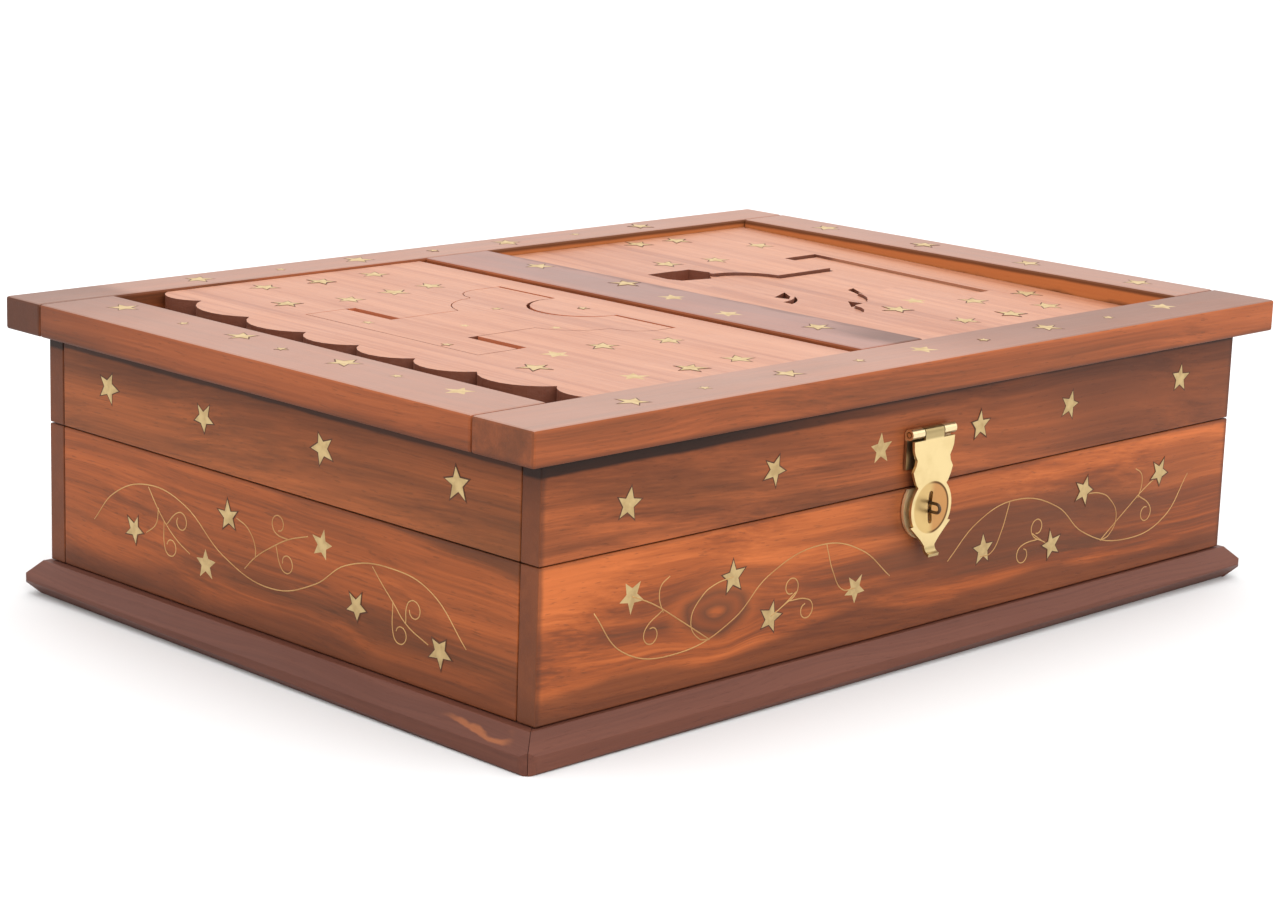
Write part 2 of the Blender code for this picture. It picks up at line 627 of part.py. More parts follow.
def build_hinge(side, x, base_walls, lid_walls, lid_pivot):
    """One small butt hinge: two leaves, a pin and four screws."""
    half = HINGE_HALF + CLEARANCE
    back = OUT_Y + BACK_REACH
    inner = LEAF_INNER_Y - CLEARANCE
    deep = SHEET + CLEARANCE + HALF_GAP
    cut_box(base_walls["back"], (x - half, inner, SPLIT_Z - deep), (x + half, back, SPLIT_Z + deep))
    cut_box(lid_walls["back"], (x - half, inner, SPLIT_Z - deep), (x + half, back, SPLIT_Z + deep))
    base_leaf = hinge_leaf(f"{side}_hinge_base_leaf", x, -1, False, None)
    lid_leaf = hinge_leaf(f"{side}_hinge_lid_leaf", x, 1, True, lid_pivot)
    fit_screws(f"{side}_hinge_base_screw", base_leaf, base_walls["back"], x, -1, None)
    fit_screws(f"{side}_hinge_lid_screw", lid_leaf, lid_walls["back"], x, 1, lid_pivot)
    reach, head = HINGE_HALF + CLEARANCE, HINGE_PIN_HEAD
    tip = reach + HINGE_PIN_CAP
    profile = [(0, -tip), (head, -tip), (head, -reach), (HINGE_PIN, -reach),
               (HINGE_PIN, reach), (head, reach), (head, tip), (0, tip)]
    turn = Matrix.Rotation(math.radians(90), 4, "Y")
    link(f"{side}_hinge_pin", turned_mesh("hinge_pin", profile, 16, turn, (x, HINGE_Y, SPLIT_Z)), "brass")


# ---- hasp ----------------------------------------------------------------
def leaf_outline():
    """Outline of the swinging leaf in X and Z, down its left side and up its right."""
    side = [(half * MM, z * MM) for half, z in LEAF_NECK]
    side += arc((0, DISC_Z), DISC_RADIUS, 46, -28, 8)
    side += [(half * MM, z * MM) for half, z in LEAF_TAIL]
    return [(-half, z) for half, z in side] + side[::-1]


def curl_mesh():
    """The tail's curl, bent outwards from the foot of the leaf."""
    centre = (LEAF_FRONT_Y - CURL_RADIUS, CURL_Z)
    inner = arc(centre, CURL_RADIUS, 0, -CURL_DEGREES, 6)
    outer = arc(centre, CURL_RADIUS + SHEET, 0, -CURL_DEGREES, 6)
    top = [(LEAF_BACK_Y, CURL_Z + CURL_ROOT), (LEAF_FRONT_Y, CURL_Z + CURL_ROOT)]
    mesh = prism_mesh("tail_curl", top + inner + outer[::-1], -CURL_HALF_WIDTH, CURL_HALF_WIDTH)
    # The profile's X and Y become the box's Y and Z.
    mesh.transform(Matrix(((0, 0, 1, 0), (1, 0, 0, 0), (0, 1, 0, 0), (0, 0, 0, 1))))
    return mesh


def dish_mesh():
    """The shallow round dish pressed into the leaf."""
    rim = DISH_RADIUS + DISH_RIM
    profile = [(0, -DISH_DEPTH), (DISH_FLOOR_RADIUS, 0), (rim, 0), (rim, -SHEET),
               (DISH_FLOOR_RADIUS, -SHEET), (0, -SHEET - DISH_DEPTH)]
    turn = Matrix.Rotation(math.radians(90), 4, "X")
    return turned_mesh("leaf_dish", profile, 32, turn, (0, LEAF_FRONT_Y, DISC_Z))


def slot_outline(half_width, half_height):
    """A slot with round ends, standing on the disc's centre."""
    reach = half_height - half_width
    upper = arc((0, DISC_Z + reach), half_width, 0, 180, 6)
    lower = arc((0, DISC_Z - reach), half_width, 180, 360, 6)
    return upper + lower


def build_hasp_leaf(pivot):
    """Swinging leaf with its knuckle, dish, slot and curled tail."""
    leaf = link("hasp_leaf", upright_mesh("hasp_leaf", leaf_outline(), LEAF_BACK_Y, LEAF_FRONT_Y), "brass",
                pivot=pivot)
    join_box(leaf, (-HASP_MIDDLE, LEAF_FRONT_Y, LEAF_TONGUE_BOTTOM), (HASP_MIDDLE, LEAF_BACK_Y, HASP_Z))
    join(leaf, rod_mesh("leaf_knuckle", HASP_KNUCKLE, (-HASP_MIDDLE, HASP_Y, HASP_Z),
                        (HASP_MIDDLE, HASP_Y, HASP_Z)))
    join(leaf, curl_mesh())
    cut(leaf, rod_mesh("dish_seat", DISH_RADIUS, (0, LEAF_FRONT_Y - SHEET, DISC_Z),
                       (0, LEAF_BACK_Y + SHEET, DISC_Z), 32))
    join(leaf, dish_mesh())
    slot = slot_outline(SLOT_HALF_WIDTH, SLOT_HALF_HEIGHT)
    cut(leaf, upright_mesh("leaf_slot", slot, LEAF_BACK_Y + THROUGH, LEAF_FRONT_Y - THROUGH))
    cut(leaf, rod_mesh("leaf_bore", HASP_BORE, (-HASP_HALF, HASP_Y, HASP_Z), (HASP_HALF, HASP_Y, HASP_Z)))


def build_fixed_leaf(lid_walls, pivot):
    """Fixed leaf on the lid, its outer knuckles, the pin and two nails."""
    mesh, centre = cuboid_mesh("hasp_fixed_leaf", (-HASP_HALF, PLATE_FRONT_Y, FIXED_LEAF_BOTTOM),
                               (HASP_HALF, PLATE_BACK_Y, HASP_Z - HASP_KNUCKLE - CLEARANCE))
    leaf = link("hasp_fixed_leaf", mesh, "brass", centre, pivot)
    inner = HASP_MIDDLE + CLEARANCE
    for start, end in ((-HASP_HALF, -inner), (inner, HASP_HALF)):
        join_box(leaf, (start, PLATE_FRONT_Y, HASP_Z - 2 * HASP_KNUCKLE), (end, PLATE_BACK_Y, HASP_Z))
        join(leaf, rod_mesh("fixed_knuckle", HASP_KNUCKLE, (start, HASP_Y, HASP_Z), (end, HASP_Y, HASP_Z)))
    cut(leaf, rod_mesh("fixed_bore", HASP_BORE, (-2 * HASP_HALF, HASP_Y, HASP_Z),
                       (2 * HASP_HALF, HASP_Y, HASP_Z)))
    pin = rod_mesh("hasp_pin", HASP_PIN, (-HASP_HALF, HASP_Y, HASP_Z), (HASP_HALF, HASP_Y, HASP_Z))
    link("hasp_pin", pin, "brass", pivot=pivot)
    for number, x in enumerate((-LEAF_NAIL_X, LEAF_NAIL_X), 1):
        drive_nail(f"hasp_leaf_nail_{number}", x, LEAF_NAIL_Z, leaf, lid_walls["front"], pivot)


def drive_nail(name, x, z, plate, wall, pivot):
    """A brass nail through a plate into the front board, with its holes."""
    head = PLATE_FRONT_Y - CLEARANCE
    turn = Matrix.Rotation(math.radians(90), 4, "X")
    profile = [(0, NAIL_HEAD_HEIGHT), (NAIL_CROWN, NAIL_HEAD_HEIGHT), (NAIL_HEAD, 0), (NAIL_SHANK, 0),
               (NAIL_SHANK, -NAIL_LENGTH), (0, -NAIL_LENGTH - NAIL_SHANK)]
    link(name, turned_mesh(name, profile, 12, turn, (x, head, z)), "brass", pivot=pivot)
    deep = head + NAIL_LENGTH + 2 * NAIL_SHANK
    for thing in (plate, wall):
        cut(thing, rod_mesh(name + "_hole", NAIL_SHANK + CLEARANCE, (x, head - ABOVE, z), (x, deep, z), 12))


def build_staple(base_walls):
    """Round plate on the base, two nails, and the staple through it."""
    top = SPLIT_Z - CLEARANCE - DISC_Z
    start = math.degrees(math.asin(top / BACKPLATE_RADIUS))
    outline = arc((0, DISC_Z), BACKPLATE_RADIUS, 180 - start, 360 + start, 26)
    plate = link("staple_plate", upright_mesh("staple_plate", outline, PLATE_BACK_Y, PLATE_FRONT_Y), "brass")
    wall = base_walls["front"]
    for number, x in enumerate((-PLATE_NAIL_X, PLATE_NAIL_X), 1):
        drive_nail(f"staple_plate_nail_{number}", x, DISC_Z, plate, wall, None)
    inside = -IN_Y + CLEARANCE
    path = [(inside, DISC_Z + STAPLE_LOOP)]
    path += arc((STAPLE_LOOP_Y, DISC_Z), STAPLE_LOOP, 90, 270, 8)
    path += [(inside, DISC_Z - STAPLE_LOOP)]
    wire = bpy.data.curves.new("staple_wire", "CURVE")
    wire.dimensions = "3D"
    wire.bevel_depth = STAPLE_WIRE
    wire.bevel_resolution = 2
    wire.use_fill_caps = True
    line = wire.splines.new("POLY")
    line.points.add(len(path) - 1)
    for point, (y, z) in zip(line.points, path):
        point.co = (0, y, z, 1)
    link("staple", wire, "brass")
    for thing in (plate, wall):
        for z in (DISC_Z - STAPLE_LOOP, DISC_Z + STAPLE_LOOP):
            cut(thing, rod_mesh("staple_hole", STAPLE_WIRE + CLEARANCE, (0, STAPLE_LOOP_Y, z),
                                (0, inside + THROUGH, z), 12))


def main():
    """Clear the scene and build every piece at rest, with the lid shut."""
    for thing in list(bpy.data.objects):
        bpy.data.objects.remove(thing, do_unlink=True)
    lid = pivot_at("lid_axis", (0, HINGE_Y, SPLIT_Z))
    hasp = pivot_at("hasp_axis", (0, HASP_Y, HASP_Z))
    left_slide = pivot_at("left_panel_axis", (LEFT_BAY_START, 0, FRAME_UNDERSIDE))
    left_lift = pivot_at("left_piece_axis", (KEY_BLOCK_LEFT, LEFT_KEY_Y, HEIGHT))
    right_lift = pivot_at("right_panel_axis", (RIGHT_BAY_START, 0, FRAME_UNDERSIDE))
    right_piece_lift = pivot_at("right_piece_axis", (KEY_MIRROR_X - KEY_BLOCK_LEFT, RIGHT_KEY_Y, HEIGHT))
    base_walls = build_base()
    lid_walls = four_walls("lid", SPLIT_Z + HALF_GAP, FRAME_UNDERSIDE - CLEARANCE, lid)
    build_frame(lid)
    build_trays(lid)
    build_left_panels(left_slide, left_lift)
    build_right_panels(right_lift, right_piece_lift)
    build_hinge("left", -HINGE_X, base_walls, lid_walls, lid)
    build_hinge("right", HINGE_X, base_walls, lid_walls, lid)
    build_fixed_leaf(lid_walls, lid)
    build_hasp_leaf(hasp)
    build_staple(base_walls)


main()
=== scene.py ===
"""Looks of the wooden puzzle box: rosewood, brass inlay and hasp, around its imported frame.

Everything is in metres, in the frame of the box: +X along the long side, the hasp on the -Y
face, +Z up, and the origin in the middle of the underside of the plinth.
"""

from __future__ import annotations

import json
import logging
import math
import random
from collections.abc import Iterable, Sequence
from dataclasses import dataclass, field, replace
from enum import Enum

import bpy
from mathutils import Matrix, Vector

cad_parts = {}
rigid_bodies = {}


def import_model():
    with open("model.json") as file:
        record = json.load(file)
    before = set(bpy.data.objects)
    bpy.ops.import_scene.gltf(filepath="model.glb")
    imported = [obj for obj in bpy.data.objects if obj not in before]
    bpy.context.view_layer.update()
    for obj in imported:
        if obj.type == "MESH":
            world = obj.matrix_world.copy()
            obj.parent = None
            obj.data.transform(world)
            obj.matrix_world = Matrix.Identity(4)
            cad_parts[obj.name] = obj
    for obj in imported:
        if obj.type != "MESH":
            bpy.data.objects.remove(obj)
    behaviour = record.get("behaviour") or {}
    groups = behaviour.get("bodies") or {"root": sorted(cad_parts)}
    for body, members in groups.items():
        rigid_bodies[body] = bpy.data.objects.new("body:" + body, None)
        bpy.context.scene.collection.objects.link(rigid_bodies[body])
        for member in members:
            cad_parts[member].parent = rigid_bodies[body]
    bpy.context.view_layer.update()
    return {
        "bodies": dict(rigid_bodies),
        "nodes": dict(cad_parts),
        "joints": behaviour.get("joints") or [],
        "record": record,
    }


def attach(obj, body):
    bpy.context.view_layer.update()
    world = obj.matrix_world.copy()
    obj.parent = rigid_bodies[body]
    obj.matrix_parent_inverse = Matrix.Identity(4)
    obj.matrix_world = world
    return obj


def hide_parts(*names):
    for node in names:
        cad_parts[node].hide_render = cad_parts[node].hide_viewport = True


LOG = logging.getLogger("puzzle_box")
MM = 0.001

Colour = tuple[float, float, float]
Point = tuple[float, float]


class Grain(Enum):
    """Which way the fibres of a board run."""

    ALONG_X = 0.0
    ALONG_Y = 90.0


class Way(Enum):
    """The measure that a stain fades along: what is measured, its axis, and if its sign is dropped."""

    X = ("place", 0, False)
    Y = ("place", 1, False)
    Z = ("place", 2, False)
    OUT_X = ("place", 0, True)
    NORMAL_X = ("normal", 0, False)
    NORMAL_Y = ("normal", 1, False)
    NORMAL_Z = ("normal", 2, False)
    FACING_X = ("normal", 0, True)


class Slot(Enum):
    """The record's material slots."""

    FRAME = "frame_wood"
    WALL = "wall_wood"
    PLINTH = "plinth_wood"
    PANEL = "panel_wood"
    BRASS = "brass"


class Body(Enum):
    """The bodies that new pieces ride on."""

    BASE = "base"
    LID = "lid"
    LEFT_PANEL = "left_panel"
    LEFT_PIECE = "left_piece"
    RIGHT_PANEL = "right_panel"


# ---- node trees ----------------------------------------------------------
class Graph:
    """A hand for wiring one shader node tree."""

    def __init__(self, tree: bpy.types.NodeTree) -> None:
        """Remember the tree that nodes are added to."""
        self.tree = tree

    def node(self, kind: str, **settings: object) -> bpy.types.Node:
        """Add one node.

        Args:
            kind: the node's type name.
            **settings: properties to set on it.

        Returns:
            The new node.
        """
        made = self.tree.nodes.new(kind)
        for name, value in settings.items():
            setattr(made, name, value)
        return made

    def feed(self, socket: bpy.types.NodeSocket, value: object) -> None:
        """Link another socket to this one, or set it to a plain value."""
        if isinstance(value, bpy.types.NodeSocket):
            self.tree.links.new(value, socket)
        else:
            socket.default_value = value

    def math(self, operation: str, first: object, second: object = 0.0) -> bpy.types.NodeSocket:
        """Return the result of one Math node."""
        made = self.node("ShaderNodeMath", operation=operation)
        self.feed(made.inputs[0], first)
        self.feed(made.inputs[1], second)
        return made.outputs[0]

    def blend(self, amount: object, first: object, second: object,
              kind: str = "MIX") -> bpy.types.NodeSocket:
        """Return a mix of two colours.

        Args:
            amount: how much of the second shows, from 0 to 1.
            first: the colour underneath.
            second: the colour on top.
            kind: the blend type.

        Returns:
            The mixed colour's socket.
        """
        made = self.node("ShaderNodeMix", data_type="RGBA", blend_type=kind)
        self.feed(made.inputs[0], amount)
        self.feed(made.inputs[6], paint(first))
        self.feed(made.inputs[7], paint(second))
        return made.outputs[2]

    def fade(self, value: object, low: float, high: float) -> bpy.types.NodeSocket:
        """Return 0 below one level and 1 past another, with a soft step between.

        The high level may be the smaller number, and then the step turns round.
        """
        made = self.node("ShaderNodeMapRange", interpolation_type="SMOOTHSTEP")
        self.feed(made.inputs[0], value)
        turned = high < low
        self.feed(made.inputs[1], min(low, high))
        self.feed(made.inputs[2], max(low, high))
        self.feed(made.inputs[3], 1.0 if turned else 0.0)
        self.feed(made.inputs[4], 0.0 if turned else 1.0)
        return made.outputs[0]

    def noise(self, vector: object, scale: float = 1.0, detail: float = 2.0,
              roughness: float = 0.5, distortion: float = 0.0) -> bpy.types.NodeSocket:
        """Return a noise value about 0.5."""
        made = self.node("ShaderNodeTexNoise")
        self.feed(made.inputs["Vector"], vector)
        self.feed(made.inputs["Scale"], scale)
        self.feed(made.inputs["Detail"], detail)
        self.feed(made.inputs["Roughness"], roughness)
        self.feed(made.inputs["Distortion"], distortion)
        return made.outputs[0]

    def vector(self, operation: str, first: object, second: object = (0, 0, 0)) -> bpy.types.NodeSocket:
        """Return the vector result of one Vector Math node."""
        made = self.node("ShaderNodeVectorMath", operation=operation)
        self.feed(made.inputs[0], first)
        self.feed(made.inputs[1], second)
        return made.outputs[0]

    def length(self, vector: object) -> bpy.types.NodeSocket:
        """Return the length of a vector."""
        made = self.node("ShaderNodeVectorMath", operation="LENGTH")
        self.feed(made.inputs[0], vector)
        return made.outputs["Value"]

    def split(self, vector: object) -> Sequence[bpy.types.NodeSocket]:
        """Return the X, Y and Z of a vector."""
        made = self.node("ShaderNodeSeparateXYZ")
        self.feed(made.inputs[0], vector)
        return made.outputs

    def gather(self, x: object, y: object, z: object) -> bpy.types.NodeSocket:
        """Return a vector made of three values."""
        made = self.node("ShaderNodeCombineXYZ")
        for socket, value in zip(made.inputs, (x, y, z)):
            self.feed(socket, value)
        return made.outputs[0]

    def ramp(self, value: object, stops: Sequence[tuple[float, Colour]]) -> bpy.types.NodeSocket:
        """Return the colour of a value on a ramp of (place, colour) stops."""
        made = self.node("ShaderNodeValToRGB")
        line = made.color_ramp
        while len(line.elements) < len(stops):
            line.elements.new(0.5)
        for element, (place, colour) in zip(line.elements, stops):
            element.position = place
            element.color = (*colour, 1)
        self.feed(made.inputs[0], value)
        return made.outputs[0]

    def group(self, tree: bpy.types.NodeTree, **inputs: object) -> bpy.types.bpy_prop_collection:
        """Place a shared node group and return its outputs."""
        made = self.node("ShaderNodeGroup", node_tree=tree)
        for name, value in inputs.items():
            self.feed(made.inputs[name], value)
        return made.outputs


def paint(value: object) -> object:
    """Give a plain colour its alpha, and leave a socket as it is."""
    if isinstance(value, bpy.types.NodeSocket):
        return value
    return (*value, 1)


def open_group(name: str, inputs: dict[str, object],
               outputs: Iterable[str]) -> tuple[Graph, bpy.types.Node, bpy.types.Node]:
    """Start a shader node group.

    Args:
        name: the group's name.
        inputs: input names with their first values, a number or a vector.
        outputs: names of its outputs; one called Vector is a vector, the rest are numbers.

    Returns:
        The group's graph, its input node and its output node.
    """
    tree = bpy.data.node_groups.new(name, "ShaderNodeTree")
    for label, value in inputs.items():
        kind = "NodeSocketVector" if isinstance(value, tuple) else "NodeSocketFloat"
        socket = tree.interface.new_socket(label, in_out="INPUT", socket_type=kind)
        socket.default_value = value
    for label in outputs:
        kind = "NodeSocketVector" if label == "Vector" else "NodeSocketFloat"
        tree.interface.new_socket(label, in_out="OUTPUT", socket_type=kind)
    graph = Graph(tree)
    return graph, graph.node("NodeGroupInput"), graph.node("NodeGroupOutput")


BEND_SCALE = (11.0, 26.0, 26.0)
CLOUD_SCALE = (6.0, 30.0, 30.0)
PORE_SCALE = (210.0, 2300.0, 2300.0)
SCRATCH_SCALE = (0.3, 9.0, 14.0)
KNOT_SHAPE = (0.55, 0.0, 1.0)


@dataclass
class SharedEffects:
    """Node groups that more than one finish uses."""

    grain: bpy.types.NodeTree = field(init=False)
    saw: bpy.types.NodeTree = field(init=False)
    knot: bpy.types.NodeTree = field(init=False)
    handling: bpy.types.NodeTree = field(init=False)

    def __post_init__(self) -> None:
        """Build each group once."""
        self.grain = self.build_grain()
        self.saw = self.build_saw()
        self.knot = self.build_knot()
        self.handling = self.build_handling()

    @staticmethod
    def build_grain() -> bpy.types.NodeTree:
        """Figure of a sawn rosewood board whose fibres run along the vector's X.

        Returns:
            A group that gives Streaks, Patches, Fibres, Pores and Clouds, each about 0 to 1.
        """
        inputs = {"Vector": (0.0, 0.0, 0.0), "Along": 8.0, "Across": 130.0, "Warp": 0.006, "Slope": 0.0}
        graph, given, result = open_group("wood_grain", inputs, ("Streaks", "Patches", "Fibres", "Pores",
                                                                "Clouds"))
        x, y, z = graph.split(given.outputs["Vector"])
        drift = graph.math("MULTIPLY", x, given.outputs["Slope"])
        bend_from = graph.vector("MULTIPLY", given.outputs["Vector"], BEND_SCALE)
        bend = graph.math("SUBTRACT", graph.noise(bend_from, detail=1.5), 0.5)
        shift = graph.math("ADD", graph.math("MULTIPLY", bend, given.outputs["Warp"]), drift)
        bent = graph.gather(x, graph.math("ADD", y, shift), graph.math("ADD", z, shift))
        along, across = given.outputs["Along"], given.outputs["Across"]
        flow = graph.vector("MULTIPLY", bent, graph.gather(along, across, across))
        graph.feed(result.inputs["Streaks"], graph.noise(flow, 1.0, 4.0, 0.62, 0.12))
        graph.feed(result.inputs["Patches"], graph.noise(flow, 0.24, 2.0, 0.5, 0.2))
        graph.feed(result.inputs["Fibres"], graph.noise(flow, 5.5, 3.0, 0.6))
        drifts = graph.vector("MULTIPLY", bent, CLOUD_SCALE)
        graph.feed(result.inputs["Clouds"], graph.noise(drifts, 1.0, 2.0, 0.5, 0.3))
        dashes = graph.vector("MULTIPLY", bent, PORE_SCALE)
        graph.feed(result.inputs["Pores"], graph.fade(graph.noise(dashes, 1.0, 1.0), 0.64, 0.72))
        return graph.tree

    @staticmethod
    def build_saw() -> bpy.types.NodeTree:
        """Fine straight tool lines that run with the fibres."""
        inputs = {"Vector": (0.0, 0.0, 0.0), "Pitch": 0.0012}
        graph, given, result = open_group("tool_lines", inputs, ("Lines", "Bands"))
        count = graph.math("DIVIDE", 1.0, given.outputs["Pitch"])
        stretched = graph.vector("MULTIPLY", given.outputs["Vector"], graph.gather(3.0, count, count))
        graph.feed(result.inputs["Lines"], graph.noise(stretched, 1.0, 2.0, 0.7))
        graph.feed(result.inputs["Bands"], graph.noise(stretched, 0.16, 1.0))
        return graph.tree

    @staticmethod
    def build_knot() -> bpy.types.NodeTree:
        """A knot: fibres bend round a centre, and rings stand inside it."""
        inputs = {"Vector": (0.0, 0.0, 0.0), "Centre": (0.0, 0.0, 0.0), "Size": 0.01}
        graph, given, result = open_group("knot", inputs, ("Vector", "Reach"))
        away = graph.vector("SUBTRACT", given.outputs["Vector"], given.outputs["Centre"])
        flat = graph.vector("MULTIPLY", away, KNOT_SHAPE)
        wobble = graph.math("MULTIPLY", graph.math("SUBTRACT", graph.noise(flat, 95.0, 2.0), 0.5), 0.006)
        reach = graph.math("DIVIDE", graph.math("ADD", graph.length(flat), wobble), given.outputs["Size"])
        pull = graph.math("MULTIPLY", graph.fade(reach, 1.3, 0.1), -0.75)
        bend = graph.gather(0.0, 0.0, graph.math("MULTIPLY", graph.split(away)[2], pull))
        graph.feed(result.inputs["Vector"], graph.vector("ADD", given.outputs["Vector"], bend))
        graph.feed(result.inputs["Reach"], reach)
        return graph.tree

    @staticmethod
    def build_handling() -> bpy.types.NodeTree:
        """Uneven polish, hairline scratches and specks left by use."""
        inputs = {"Vector": (0.0, 0.0, 0.0), "Scale": 40.0}
        graph, given, result = open_group("handling", inputs, ("Smudge", "Scratch", "Specks"))
        vector, scale = given.outputs["Vector"], given.outputs["Scale"]
        sized = graph.vector("SCALE", vector)
        graph.feed(sized.node.inputs["Scale"], scale)
        graph.feed(result.inputs["Smudge"], graph.noise(sized, 1.0, 3.0, 0.55))
        tilted = graph.vector("MULTIPLY", sized, SCRATCH_SCALE)
        graph.feed(result.inputs["Scratch"], graph.fade(graph.noise(tilted, 1.0, 2.0, 0.7), 0.66, 0.74))
        dots = graph.node("ShaderNodeTexVoronoi")
        graph.feed(dots.inputs["Vector"], sized)
        graph.feed(dots.inputs["Scale"], 4.0)
        spread = graph.fade(graph.noise(sized, 3.0, 1.0), 0.58, 0.66)
        speck = graph.math("MULTIPLY", graph.fade(dots.outputs["Distance"], 0.1, 0.05), spread)
        graph.feed(result.inputs["Specks"], speck)
        return graph.tree


# ---- finishes ------------------------------------------------------------
GRIT_SCALE = (60.0, 60.0, 170.0)
WAVE_SCALE = (15.0, 15.0, 9.0)
TONE_PLACES = (0.30, 0.42, 0.52, 0.68)
RING_PLACES = (0.05, 0.18, 0.36, 0.50, 0.70)


@dataclass(frozen=True)
class Limit:
    """One bound of a stain: gone at 'clear' and at its strongest at 'full'."""

    way: Way
    clear: float
    full: float


TOP_FACES = Limit(Way.NORMAL_Z, 0.5, 0.85)
CUT_FACES = Limit(Way.NORMAL_Z, 0.6, 0.2)
UNDERSIDES = Limit(Way.NORMAL_Z, -0.1, -0.6)
END_FACES = Limit(Way.FACING_X, 0.6, 0.9)
TURNED_FORWARD = Limit(Way.NORMAL_Y, -0.6, -0.9)
TURNED_LEFT = Limit(Way.NORMAL_X, -0.6, -0.9)


@dataclass(frozen=True)
class Stain:
    """A darker or paler patch of polish that lies where all its limits meet.

    'ragged' and 'wavy' are how far its edge strays, in small steps and in long ones.
    """

    tint: Colour
    limits: tuple[Limit, ...]
    strength: float = 1.0
    ragged: float = 0.0
    wavy: float = 0.0


def lay_stains(graph: Graph, place: bpy.types.NodeSocket, normal: bpy.types.NodeSocket,
               colour: bpy.types.NodeSocket, stains: Sequence[Stain]) -> bpy.types.NodeSocket:
    """Lay stains over a colour, one after another.

    Args:
        graph: the material's graph.
        place: the point on the piece.
        normal: the way the surface faces there.
        colour: the colour underneath.
        stains: the stains, from the lowest up.

    Returns:
        The stained colour's socket.
    """
    if not stains:
        return colour
    sources = {"place": graph.split(place), "normal": graph.split(normal)}
    grit = graph.noise(graph.vector("MULTIPLY", place, GRIT_SCALE), 1.0, 3.0)
    grit = graph.math("SUBTRACT", grit, 0.5)
    wave = graph.noise(graph.vector("MULTIPLY", place, WAVE_SCALE), 1.0, 1.0)
    wave = graph.math("SUBTRACT", wave, 0.5)
    for stain in stains:
        amount = stain.strength
        for limit in stain.limits:
            source, axis, outward = limit.way.value
            measure = sources[source][axis]
            if outward:
                measure = graph.math("ABSOLUTE", measure)
            if source == "place":
                for unevenness, reach in ((grit, stain.ragged), (wave, stain.wavy)):
                    if reach:
                        measure = graph.math("ADD", measure, graph.math("MULTIPLY", unevenness, reach))
            amount = graph.math("MULTIPLY", graph.fade(measure, limit.clear, limit.full), amount)
        colour = graph.blend(amount, colour, stain.tint)
    return colour


@dataclass(frozen=True)
class Knot:
    """A knot in a board: its centre and its size."""

    centre: tuple[float, float, float]
    size: float


